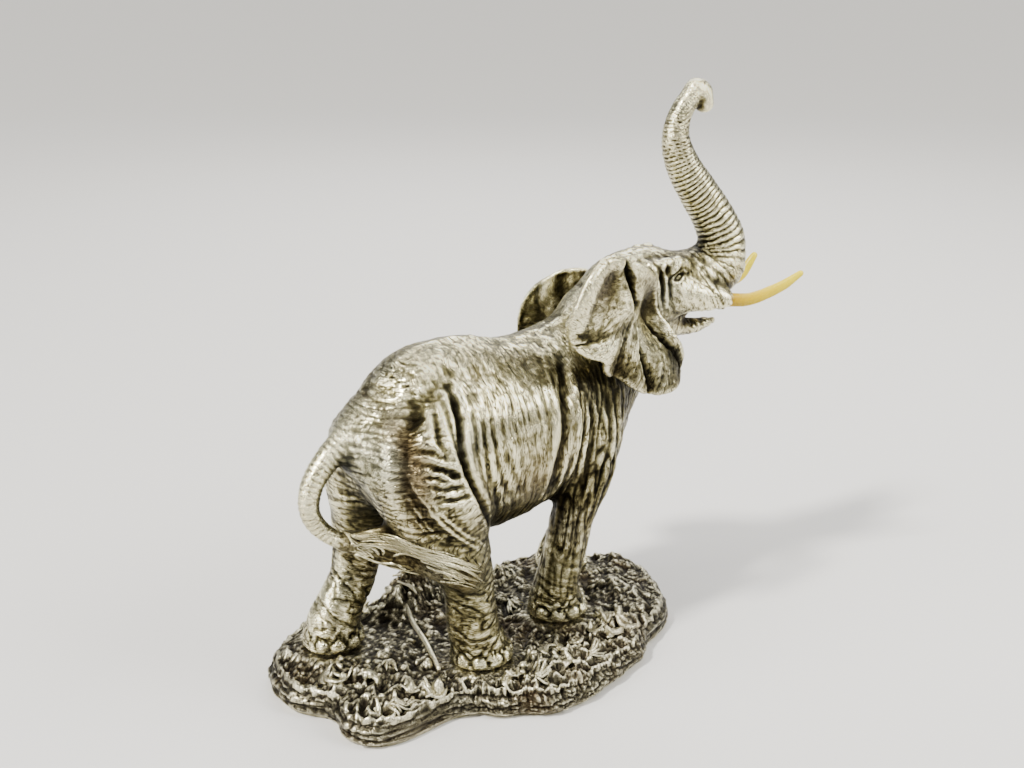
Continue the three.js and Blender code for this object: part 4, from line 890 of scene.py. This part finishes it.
def tuft():
    rng = np.random.default_rng(8)
    mid = cubic([[-72, -6, 88.5], [-66, -12.5, 86.5], [-58, -20, 84.5], [-50, -29, 82.5], [-42, -37.5, 79], [-31, -41.5, 72.5], [-20, -40, 63.5]], 5)
    rows = []
    t = np.linspace(0, 1, len(mid))
    for i in range(46):
        f = rng.uniform(-1, 1)
        spread = (2.0 + 6.0 * step(0, 0.35, t) + 3.5 * t) * f + 1.5 * step(0, 0.3, t)
        wave = 2.3 * np.sin(t * rng.uniform(7, 12) + rng.uniform(0, 6)) * t
        stop = rng.uniform(0.72, 1.0) if i % 3 else rng.uniform(0.45, 0.75)
        first = rng.uniform(0.0, 0.25)
        P = mid + np.stack([-0.35 * (spread + wave), np.zeros(len(t)), 0.9 * (spread + wave)], 1)
        keep = np.linspace(first, stop, 22)
        rows.append(np.stack([np.interp(keep, t, P[:, c]) for c in range(3)], 1))
    P = onto_skin(np.vstack(rows), 0.55).reshape(len(rows), -1, 3)
    out = []
    for r in P:
        for _ in range(2):
            r[1:-1] = 0.5 * r[1:-1] + 0.25 * (r[:-2] + r[2:])
        w = rng.uniform(0.55, 0.95)
        k = np.linspace(0, 1, len(r))
        out.append(tube(r, w * (0.35 + 0.65 * np.sin(np.pi * np.clip(k * 0.9 + 0.08, 0, 1)))))
    return out


def merge(o, extra):
    """The object's mesh as triangles, with the extra closed pieces, in one new mesh."""
    me = o.data
    me.calc_loop_triangles()
    T = np.empty(len(me.loop_triangles) * 3, np.int32)
    me.loop_triangles.foreach_get("vertices", T)
    V = np.empty(len(me.vertices) * 3, F32)
    me.vertices.foreach_get("co", V)
    VV, TT, m = [V.reshape(-1, 3)], [T.reshape(-1, 3)], len(me.vertices)
    for v, f in extra:
        VV.append(to_frame(v))
        TT.append(f + m)
        m += len(v)
    name = o.name
    bpy.data.objects.remove(o)
    bpy.data.meshes.remove(me)
    return make_mesh(name, np.vstack(VV), np.vstack(TT))


# ------------------------------------------------------------------ the casting
G, lo = sample([-96, -64, SOLE_HIND - 5], [170, 66, 280], STEP)
V, Q = skin(settle(G), lo, STEP)
del G
N = normals(V, Q)
disp, flow, brown_and_shade, cool_and_reflection = detail(V, N)
V = V + N * disp[:, None]
V[:, 2] = np.maximum(V[:, 2], np.where(V[:, 0] > 15, SOLE_FRONT, SOLE_HIND) - 0.9)
elephant = make_mesh("elephant_skin", to_frame(V), Q)
elephant = merge(thin(elephant, BODY_TRIANGLES), tuft())
Vd, Ed, Nd = relief(elephant, 0.31, 0.95)
Pm = np.stack([8 - Vd[:, 1], Vd[:, 0] - 8, Vd[:, 2]], 1)
Nm = np.stack([-Nd[:, 1], Nd[:, 0], Nd[:, 2]], 1)
_, flow, brown_and_shade, cool_and_reflection = detail(Pm, Nm)
put(elephant.data, "flow", flow)
hair = step(3.5, 0.5, FORMS[TUFT].at(Pm.astype(F32)[:, None, :])[:, 0])
put(elephant.data, "brown_and_shade", np.maximum(brown_and_shade, 0.5 * hair))
put(elephant.data, "cool_and_reflection", cool_and_reflection)
# painted shade: undersides darker, the legs and the chest below the neck darker, points that other parts of the form
# crowd over darker (the 15 mm reach darkens the neck behind the ear), and the tail tuft darker, partly its own dark
# hair and partly painted shade
under = step(0.1, -0.8, Nm[:, 2])
lower = step(116, 80, Pm[:, 2]) * 0.60 + 0.48 * step(40, 56, Pm[:, 0]) * step(160, 140, Pm[:, 2]) * step(60, 100, Pm[:, 2])
lower = lower * (1 - 0.8 * np.exp(-((Pm[:, 2] - 24) / 7) ** 2)) * step(-66, -52, Pm[:, 0])
put(elephant.data, "painted_shade", np.clip(lower + 0.9 * hollow(Pm, Nm, 6.0) + 0.6 * hollow(Pm, Nm, 15.0) + 0.25 * under + hair * (1.15 + 1.2 * noise(sx(Pm[:, 0] / 9, Pm[:, 1] / 9, Pm[:, 2] / 1.5), 34)), 0, 1))
shade(elephant, bronze("aged_bronze", (0.96, 0.905, 0.60), (0.205, 0.180, 0.084), (0.040, 0.034, 0.015), (0.005, 0.0042, 0.0023), (0.085, 0.058, 0.023), (0.21, 0.235, 0.215), (0.25, 0.50, 0.69, 0.94), 0.25))


# ------------------------------------------------------------------ tusks
def tusk(name, st, seed):
    c = cubic(st, 12)
    sides, pos, flow, along = 28, [], [], []
    up = np.array([0, 0, 1.0])
    T = np.gradient(c[:, :3], axis=0)
    T /= np.linalg.norm(T, axis=1)[:, None]
    L = np.concatenate([[0], np.cumsum(np.linalg.norm(np.diff(c[:, :3], axis=0), axis=1))])
    L /= L[-1]
    rows = len(c)
    for i in range(rows):
        s = up - T[i] * (T[i] @ up)
        s /= np.linalg.norm(s)
        b = np.cross(T[i], s)
        for j in range(sides):
            q = 2 * np.pi * j / sides
            r = c[i, 3] * (1 + 0.035 * math.sin(3 * q + seed) + 0.02 * math.sin(7 * q + 9 * L[i]) + 0.012 * math.sin(40 * L[i] + seed))
            pos.append(c[i, :3] + (s * math.cos(q) + b * math.sin(q)) * r)
            flow.append([L[i] * 3, 4 * math.cos(q), 4 * math.sin(q)])
            along.append(L[i])
    tri = []
    for i in range(rows - 1):
        for j in range(sides):
            k = (j + 1) % sides
            tri.append([i * sides + j, i * sides + k, (i + 1) * sides + k, (i + 1) * sides + j])
    quads = np.array(tri)
    pos = np.array(pos)
    # rounded tip and flat root, each closed by shrinking rings
    def cap(row, centre, step_):
        base = row * sides
        ring = list(range(base, base + sides))
        return ring, centre
    V = [pos]
    extra, faces, m = [], [], len(pos)
    tip = c[-1, :3]
    last = list(range((rows - 1) * sides, rows * sides))
    for t in (0.45, 0.8):
        for j in range(sides):
            extra.append(tip + (pos[(rows - 1) * sides + j] - tip) * math.cos(t * math.pi / 2) + T[-1] * c[-1, 3] * math.sin(t * math.pi / 2))
            flow.append([3, 0, 0]); along.append(1.0)
        ring = list(range(m, m + sides))
        faces += [[last[j], last[(j + 1) % sides], ring[(j + 1) % sides], ring[j]] for j in range(sides)]
        last, m = ring, m + sides
    extra.append(tip + T[-1] * c[-1, 3]); flow.append([3, 0, 0]); along.append(1.0)
    end = m; m += 1
    extra.append(c[0, :3]); flow.append([0, 0, 0]); along.append(0.0)
    root = m
    allq = np.vstack([quads, np.array(faces)])
    me = bpy.data.meshes.new(name)
    P = to_frame(np.vstack([pos, np.array(extra)]))
    F = [list(map(int, f)) for f in allq] + [[last[j], last[(j + 1) % sides], end] for j in range(sides)] + [[(j + 1) % sides, j, root] for j in range(sides)]
    me.from_pydata(P.tolist(), [], F)
    me.update()
    me.validate()
    o = bpy.data.objects.new(name, me)
    bpy.context.scene.collection.objects.link(o)
    put(me, "flow", np.array(flow))
    put(me, "along", np.array(along))
    shade(o, ivory(name + "_ivory"))
    return o


tusk_right = tusk("tusk_right_ivory", TUSK_R, 0.4)
tusk_left = tusk("tusk_left_ivory", TUSK_L, 1.9)

# ------------------------------------------------------------------ the ground base
BASE_EDGE = [109, 111, 102, 91, 80, 70, 63, 59, 58, 60, 66, 80, 96, 107, 110, 107, 96, 99, 91, 64, 56, 56, 59, 61, 63, 64, 65, 67, 76, 78, 92, 103]
MOUNDS = [[-4, 41, 16, 16, 11], [-20, 36, 7, 12, 9], [106, 12, 4, 9, 8], [-60, -6, 3, 14, 9], [14, -52, 3.5, 13, 8], [62, -46, 4, 12, 8], [84, -18, 4, 9, 12], [-80, 34, 4, 8, 10], [10, 10, 3, 22, 12], [-36, -6, 2.5, 10, 10], [46, 28, 4, 14, 9], [70, 42, 3.5, 12, 7], [-70, 10, 3, 9, 8], [20, 40, 3, 12, 8]]
FEET = [[41, -18, SOLE_FRONT, 15.2], [75.5, 20, SOLE_FRONT, 14.4], [-13.7, -27.7, SOLE_HIND, 15.4], [-61.8, 27.7, SOLE_HIND, 15]]
BASE_RIM = 12.0


def base_edge(a):
    n = len(BASE_EDGE)
    R = np.array(BASE_EDGE, float)
    x = (a / (2 * np.pi) % 1) * n
    i = np.floor(x).astype(int) % n
    t = x - np.floor(x)
    p, q, r, s = (R[(i + k) % n] for k in (-1, 0, 1, 2))
    v = 0.5 * (2 * q + (r - p) * t + (2 * p - 5 * q + 4 * r - s) * t * t + (3 * q - p - 3 * r + s) * t ** 3)
    return v + 0.8 * np.sin(11 * a + 0.7) + 0.7 * np.sin(17 * a)


def ripple(x, y):
    return 0.9 * np.sin(x * 0.21 + 1.3 * np.sin(y * 0.17)) * np.cos(y * 0.24 + np.sin(x * 0.13)) + 0.5 * np.sin(x * 0.47 - y * 0.39)


def rough_ground(x, y, edge):
    z = BASE_RIM + 1.5 + 3.5 * step(0, 30, edge) + 0.9 * ripple(x, y) * step(0, 8, edge)
    for mx, my, h, a, b in MOUNDS:
        z = z + h * np.exp(-((x - mx) / a) ** 2 - ((y - my) / b) ** 2) * step(0, 6, edge)
    return z


def ground(x, y, edge, rng_pebbles):
    z = rough_ground(x, y, edge)
    k = step(-1.5, 3, edge)
    P2 = lambda s, seed: noise(sx(x / s, y / s, np.full(len(x), 0.31 + seed)), seed)
    warp = P2(9, 40) * 2.2
    soil = 0.9 * P2(6.5, 41) + 0.75 * (1 - np.abs(P2(4.2, 42))) + 0.75 * P2(2.3, 43) + 0.45 * P2(1.3, 44)
    z = z + k * (soil - 0.5) * (0.62 + 0.38 * step(34, 20, edge))
    # crumpled leaf litter along the near edge
    crumple = step(34, 16, edge) * step(-10, -26, y + 0.25 * (x - BASE_CENTRE[0]))
    z = z + k * crumple * (3.4 * (0.5 - 1.5 * np.abs(P2(8.0, 47))) + 0.7 * (0.5 - np.abs(P2(3.0, 48))))
    # pebbles and clods
    for px, py, r, h in rng_pebbles:
        d = np.hypot(x - px, (y - py) * 1.15)
        m = d < r * 1.2
        z[m] += k[m] * h * np.sqrt(np.clip(1 - (d[m] / (r * 1.2)) ** 2, 0, 1))
    rock = step(9, 26, z)
    z = z + rock * (1.9 * np.abs(P2(7, 45)) + 1.3 * np.abs(P2(3.4, 46)) - 0.9)
    # soil trodden flat under the feet, rough again just outside them
    for fx, fy, sole, r in FEET:
        d = np.hypot(x - fx, y - fy)
        t = step(r + 1.0, r + 8, d)
        z = (sole - 0.4 + 0.55 * (soil - 0.7) * step(r - 3, r + 1, d)) * (1 - t) + z * t
    return z


def base_piece():
    """Top: a disc mapped without a seam, pushed up by the ground; side: lobed strata down to a flat underside."""
    n = 236
    s = np.linspace(-1, 1, n + 1)
    A, B = np.meshgrid(s, s, indexing="ij")
    a, b = A.ravel(), B.ravel()
    swap = np.abs(a) < np.abs(b)
    r = np.where(swap, b, a)
    ang = np.where(swap, np.pi / 2 - np.pi / 4 * (a / np.where(b == 0, 1, b)), np.pi / 4 * (b / np.where(a == 0, 1, a)))
    X, Y = r * np.cos(ang), r * np.sin(ang)
    rad, th = np.hypot(X, Y), np.arctan2(Y, X)
    R = base_edge(th) - 3.2
    x, y = BASE_CENTRE[0] + rad * R * np.cos(th), BASE_CENTRE[1] + rad * R * np.sin(th)
    edge = R * (1 - rad)
    rng = np.random.default_rng(5)
    peb = []
    for _ in range(520):
        q, t = rng.uniform(0, 2 * np.pi), math.sqrt(rng.uniform(0, 1))
        e = float(base_edge(np.array([q]))[0]) - 8
        size = rng.choice([1.2, 1.7, 2.4, 3.4], p=[0.42, 0.33, 0.18, 0.07])
        peb.append((BASE_CENTRE[0] + e * t * math.cos(q), BASE_CENTRE[1] + e * t * math.sin(q), size, size * rng.uniform(0.35, 0.75)))
    z = ground(x, y, edge, peb)
    lobes = noise(np.stack([np.cos(th) * 13, np.sin(th) * 13, np.full(len(th), 0.4)], 1), 55)
    rimz = BASE_RIM - 0.6 + 1.6 * lobes + 1.1 * noise(np.stack([np.cos(th) * 31, np.sin(th) * 31, np.full(len(th), 0.4)], 1), 56)
    ragged = (1.6 * np.abs(lobes) + 0.8 * noise(np.stack([np.cos(th) * 40, np.sin(th) * 40, np.full(len(th), 0.7)], 1), 57)) * step(0.90, 1.0, rad)
    x, y = x - ragged * np.cos(th), y - ragged * np.sin(th)
    z = np.where(edge < 0.01, rimz, z)
    top = np.stack([x, y, z], 1)
    idx = lambda i, j: i * (n + 1) + j
    I, J = np.meshgrid(np.arange(n), np.arange(n), indexing="ij")
    I, J = I.ravel(), J.ravel()
    quads = np.stack([idx(I, J), idx(I + 1, J), idx(I + 1, J + 1), idx(I, J + 1)], 1)
    # boundary, anticlockwise
    loop = [idx(i, 0) for i in range(n)] + [idx(n, j) for j in range(n)] + [idx(i, n) for i in range(n, 0, -1)] + [idx(0, j) for j in range(n, 0, -1)]
    loop = np.array(loop)
    lth = np.arctan2(top[loop, 1] - BASE_CENTRE[1], top[loop, 0] - BASE_CENTRE[0])
    E = base_edge(lth)
    ring, verts, faces, m = loop, [top], [quads], len(top)
    zt = top[loop, 2]
    steps = 24
    C5, S5 = np.cos(lth), np.sin(lth)
    peri = lth * 12
    for j in range(steps):
        t = (j + 1) / steps
        zz = zt * (1 - t)
        off = -2.6 * (1 - step(0, 0.34, t)) - 3.6 * step(0.70, 1.0, t) ** 1.4
        # ragged ledges, like layers of leaf and earth, and short flutes across them
        led = np.abs(noise(np.stack([C5 * 6, S5 * 6, zz / 3.6], 1), 50))
        led2 = np.abs(noise(np.stack([C5 * 17, S5 * 17, zz / 1.9], 1), 52))
        flute = noise(np.stack([C5 * 34, S5 * 34, zz / 7], 1), 53)
        shift = 1.5 * noise(np.stack([C5 * 3.3, S5 * 3.3, np.full(len(lth), 0.2)], 1), 54)
        bed = np.abs(np.sin((zz + shift * 3.4) * 0.62)) ** 0.6
        inward = 1.9 * (0.62 - led) * 0.9 + 1.2 * (0.5 - led2) + 0.8 * (0.8 - bed) + 0.5 * flute
        rr = E + off - np.clip(inward, -0.2, 2.6) * (1 - t ** 6)
        rr = np.minimum(rr, E + 0.2)
        verts.append(np.stack([BASE_CENTRE[0] + rr * C5, BASE_CENTRE[1] + rr * S5, zz], 1))
        new = np.arange(m, m + len(loop))
        faces.append(np.stack([ring, new, np.roll(new, -1), np.roll(ring, -1)], 1))
        ring, m = new, m + len(loop)
    # underside: rings shrinking to the middle
    for f in (0.6, 0.2):
        rr = (E - 6.2) * f
        verts.append(np.stack([BASE_CENTRE[0] + rr * np.cos(lth), BASE_CENTRE[1] + rr * np.sin(lth), np.zeros(len(lth))], 1))
        new = np.arange(m, m + len(loop))
        faces.append(np.stack([ring, new, np.roll(new, -1), np.roll(ring, -1)], 1))
        ring, m = new, m + len(loop)
    verts.append(np.array([[BASE_CENTRE[0], BASE_CENTRE[1], 0.0]]))
    V = np.vstack(verts)
    Qd = np.vstack(faces)
    T = np.vstack([Qd[:, [0, 1, 2]], Qd[:, [0, 2, 3]], np.stack([ring, np.full(len(ring), m), np.roll(ring, -1)], 1)])
    return V, T


def outward(V, F):
    a, b, c = V[F[:, 0]] - V[0], V[F[:, 1]] - V[0], V[F[:, 2]] - V[0]
    return (V, F) if (a * np.cross(b, c)).sum() > 0 else (V, F[:, ::-1])


# leaves, blades and a stick lie on the ground as closed slivers
def strip(points, widths, thick, twist=0.0):
    """A closed, lens shaped sliver along a path, standing on its lower edge."""
    c = cubic(points, 4)
    w = np.interp(np.linspace(0, 1, len(c)), np.linspace(0, 1, len(widths)), widths)
    T = np.gradient(c, axis=0)
    T /= np.linalg.norm(T, axis=1)[:, None]
    S = np.cross(T, np.array([0, 0, 1.0]))
    S /= np.linalg.norm(S, axis=1)[:, None] + 1e-9
    U = np.cross(S, T)
    V, F = [], []
    for i in range(len(c)):
        a = twist * i / len(c)
        s = S[i] * math.cos(a) + U[i] * math.sin(a)
        u = -S[i] * math.sin(a) + U[i] * math.cos(a)
        V += [c[i] + s * w[i], c[i] + u * thick + s * w[i] * 0.1, c[i] - s * w[i], c[i] - u * thick]
    for i in range(len(c) - 1):
        for j in range(4):
            k = (j + 1) % 4
            a, b = i * 4 + j, i * 4 + k
            F += [[a, b, b + 4], [a, b + 4, a + 4]]
    n = (len(c) - 1) * 4
    F += [[2, 1, 0], [3, 2, 0], [n, n + 1, n + 2], [n, n + 2, n + 3]]
    return outward(np.array(V), np.array(F))


def litter(height):
    rng = np.random.default_rng(23)
    out = []
    lift = lambda p, h: [p[0], p[1], height(p[0], p[1]) + h]

    def inside(x, y, margin):
        dx, dy = x - BASE_CENTRE[0], y - BASE_CENTRE[1]
        return math.hypot(dx, dy) < float(base_edge(np.array([math.atan2(dy, dx)]))[0]) - margin

    def clear(x, y, r=3):
        return all(math.hypot(x - f[0], y - f[1]) > f[3] + r for f in FEET)
    # grass tufts: blades that arch out from a point
    tufts = [(30, 4, 13), (52, -44, 15), (-4, -58, 13), (-30, -30, 12), (-88, 6, 12), (-70, -34, 11), (10, 30, 12), (50, 36, 12), (-34, 52, 11), (30, -56, 11), (-50, -8, 10), (-96, 30, 10)]
    for tx, ty, size in tufts:
        lean = rng.uniform(0, 2 * np.pi)
        for b in range(8):
            a = lean + rng.uniform(-0.8, 0.8)
            l = size * rng.uniform(0.55, 1.0)
            pts, ok = [], True
            for t in (0.08, 0.4, 0.75, 1.0):
                px, py = tx + math.cos(a + 0.35 * t) * l * t, ty + math.sin(a + 0.35 * t) * l * t
                if not inside(px, py, 4) or not clear(px, py, 1.5):
                    ok = False
                    break
                pts.append(lift((px, py), 0.5 + 1.2 * math.sin(math.pi * min(t * 0.9, 1)) * rng.uniform(0.6, 1.0)))
            if ok:
                out.append(strip(pts, [1.0, 0.95, 0.65, 0.2], 0.6, rng.uniform(-0.5, 0.5)))
    # curled leaves, most of them along the near edge
    for _ in range(60):
        q = rng.uniform(0, 2 * np.pi)
        e = float(base_edge(np.array([q]))[0])
        d = e - rng.uniform(7, 26)
        x, y = BASE_CENTRE[0] + d * math.cos(q), BASE_CENTRE[1] + d * math.sin(q)
        if not clear(x, y, 6):
            continue
        a, l, w = rng.uniform(0, 2 * np.pi), rng.uniform(7, 13), rng.uniform(1.8, 3.0)
        pts, ok = [], True
        for t in (-0.5, -0.2, 0.15, 0.5):
            px, py = x + math.cos(a + t) * l * t, y + math.sin(a + t) * l * t
            if not inside(px, py, 3.5) or not clear(px, py, 1):
                ok = False
                break
            pts.append(lift((px, py), 1.0 + 1.6 * (4 * t * t)))
        if ok:
            out.append(strip(pts, [0.2, w, w * 0.9, 0.15], 0.6, rng.uniform(-0.7, 0.7)))
    # a bent stick propped on the mound
    pts = [[-22, 22, 26], [-26, 10, 22.5], [-29, -4, 20.5], [-33, -16, 19], [-37, -27, 18]]
    pts = [[p[0], p[1], max(p[2], height(p[0], p[1]) + 0.8)] for p in pts]
    out.append(strip(pts, [0.7, 1.5, 1.8, 1.6, 0.8], 1.5, 0.6))
    # small square cut stones and broken pieces
    for _ in range(46):
        q, t = rng.uniform(0, 2 * np.pi), math.sqrt(rng.uniform(0.05, 1))
        e = float(base_edge(np.array([q]))[0]) - 9
        x, y = BASE_CENTRE[0] + e * t * math.cos(q), BASE_CENTRE[1] + e * t * math.sin(q)
        if not clear(x, y, 4):
            continue
        r = rng.uniform(1.1, 2.6)
        k = rng.normal(size=(14, 3))
        k /= np.linalg.norm(k, axis=1)[:, None]
        k *= r * rng.uniform(0.8, 1.15, size=(14, 1)) * np.array([1, 1, 0.8])
        out.append(("stone", k + np.array([x, y, height(x, y) + r * 0.25])))
    return out


def hull(points):
    import bmesh
    bm = bmesh.new()
    for p in points:
        bm.verts.new(p)
    res = bmesh.ops.convex_hull(bm, input=bm.verts)
    bmesh.ops.delete(bm, geom=[g for g in res["geom_interior"] if isinstance(g, bmesh.types.BMVert)], context="VERTS")
    bmesh.ops.triangulate(bm, faces=bm.faces)
    bmesh.ops.recalc_face_normals(bm, faces=bm.faces)
    bm.verts.index_update()
    V = np.array([v.co[:] for v in bm.verts])
    F = np.array([[v.index for v in f.verts] for f in bm.faces])
    bm.free()
    return outward(V, F)


BV, BT = base_piece()
cells = {}
for i, (gx, gy) in enumerate(np.floor(BV[:, :2] / 2).astype(int)):
    if BV[i, 2] > 8:
        cells.setdefault((gx, gy), []).append(i)


def ground_height(x, y):
    gx, gy = int(math.floor(x / 2)), int(math.floor(y / 2))
    near = [i for a in (-1, 0, 1) for b in (-1, 0, 1) for i in cells.get((gx + a, gy + b), [])]
    if not near:
        return BASE_RIM
    P = BV[near]
    return float(P[np.argmin((P[:, 0] - x) ** 2 + (P[:, 1] - y) ** 2), 2])


VV, TT, m = [BV], [BT], len(BV)
for item in litter(ground_height):
    v, f = hull(item[1]) if isinstance(item[0], str) else item
    VV.append(v)
    TT.append(f + m)
    m += len(v)
BV, BT = np.vstack(VV), np.vstack(TT)
base = make_mesh("ground_base", to_frame(BV), BT)
Vb, Eb, Nb = relief(base, 0.30, 1.0)
put(base.data, "flow", Vb * 0.5)
put(base.data, "brown_and_shade", 0.5 * np.clip(noise(Vb / 17, 60), 0, 1))
put(base.data, "cool_and_reflection", 0.4 * np.clip(noise(Vb / 13, 61), 0, 1))
# darker towards the bottom of the side walls
put(base.data, "painted_shade", 0.25 * step(12, 1, Vb[:, 2]))
shade(base, bronze("blackened_bronze", (0.82, 0.77, 0.55), (0.145, 0.131, 0.082), (0.034, 0.030, 0.020), (0.008, 0.006, 0.004), (0.08, 0.045, 0.018), (0.11, 0.115, 0.10), (0.12, 0.36, 0.56, 0.82), 0.36, 0.9))

# ------------------------------------------------------------------ floor, light and camera
floor_mesh = bpy.data.meshes.new("floor")
size = 14.0
floor_mesh.from_pydata([(-size, -size, 0), (size, -size, 0), (size, size, 0), (-size, size, 0)], [], [(0, 1, 2, 3)])
floor = bpy.data.objects.new("floor", floor_mesh)
bpy.context.scene.collection.objects.link(floor)
k = Nodes("pale_floor")
k.bsdf.inputs["Base Color"].default_value = (0.70, 0.69, 0.675, 1)
k.bsdf.inputs["Roughness"].default_value = 0.85
floor_mesh.materials.append(k.mat)

RIGHT = Vector((-0.6157, -0.7880, 0.0))
UP = Vector((0.2695, -0.2106, 0.9397))
AHEAD = Vector((0.7405, -0.5785, -0.3420))
TARGET = Vector((0.0, -0.03, 0.12))

cam_data = bpy.data.cameras.new("camera")
cam_data.lens = 50
cam_data.sensor_width = 36
cam_data.clip_end = 60
cam = bpy.data.objects.new("camera", cam_data)
bpy.context.scene.collection.objects.link(cam)
cam.matrix_world = Matrix(((RIGHT.x, UP.x, -AHEAD.x, -0.4953), (RIGHT.y, UP.y, -AHEAD.y, 0.3739), (RIGHT.z, UP.z, -AHEAD.z, 0.3705), (0, 0, 0, 1)))
bpy.context.scene.camera = cam


def sun(name, towards, strength, spread, color=(1, 1, 1)):
    data = bpy.data.lights.new(name, "SUN")
    data.energy, data.angle, data.color = strength, math.radians(spread), color
    o = bpy.data.objects.new(name, data)
    bpy.context.scene.collection.objects.link(o)
    o.location = TARGET + towards
    o.rotation_euler = (-towards).to_track_quat("-Z", "Y").to_euler()
    return o


def panel(name, direction, distance, size, power, color=(1, 1, 1)):
    data = bpy.data.lights.new(name, "AREA")
    data.shape = "RECTANGLE"
    data.size, data.size_y = size
    data.energy, data.color = power, color
    o = bpy.data.objects.new(name, data)
    bpy.context.scene.collection.objects.link(o)
    o.location = TARGET + Vector(direction).normalized() * distance
    o.rotation_euler = (TARGET - o.location).to_track_quat("-Z", "Y").to_euler()


sun("key", -AHEAD * 1.0 - RIGHT * 0.75 + UP * 1.0, 4.6, 7, (1.0, 0.97, 0.90))
sun("fill", -AHEAD * 0.6 + RIGHT * 1.1 + UP * 0.7, 0.6, 22, (0.94, 0.97, 1.0))
panel("flank", (-0.62, -0.50, 0.55), 1.0, (0.75, 0.60), 9.5, (1.0, 0.98, 0.93))
panel("rump", (0.15, 0.90, 0.45), 0.95, (0.5, 0.6), 6.5, (1.0, 0.98, 0.95))
panel("behind", (0.70, -0.60, 0.62), 1.3, (0.9, 0.4), 8.0, (1.0, 0.99, 0.97))
panel("above", (-0.05, -0.15, 0.98), 1.15, (1.0, 0.9), 10.5, (1.0, 0.98, 0.95))
world = bpy.data.worlds.new("world")
world.use_nodes = True
wt = world.node_tree
coord = wt.nodes.new("ShaderNodeTexCoord")
split = wt.nodes.new("ShaderNodeSeparateXYZ")
sky = wt.nodes.new("ShaderNodeValToRGB")
wt.links.new(coord.outputs["Generated"], split.inputs[0])
wt.links.new(split.outputs["Z"], sky.inputs["Fac"])
sky.color_ramp.elements[0].position, sky.color_ramp.elements[0].color = 0.30, (0.42, 0.42, 0.41, 1)
sky.color_ramp.elements[1].position, sky.color_ramp.elements[1].color = 0.68, (0.045, 0.047, 0.05, 1)
wt.links.new(sky.outputs["Color"], wt.nodes["Background"].inputs["Color"])
wt.nodes["Background"].inputs["Strength"].default_value = 1.0
bpy.context.scene.world = world

# ------------------------------------------------------------------ what stands for what
for piece, node, slot in ((elephant, "elephant", "bronze"), (base, "base", "dark_bronze"), (tusk_left, "tusk_left", "ivory"), (tusk_right, "tusk_right", "ivory")):
    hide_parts(node)
    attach(piece, "root")
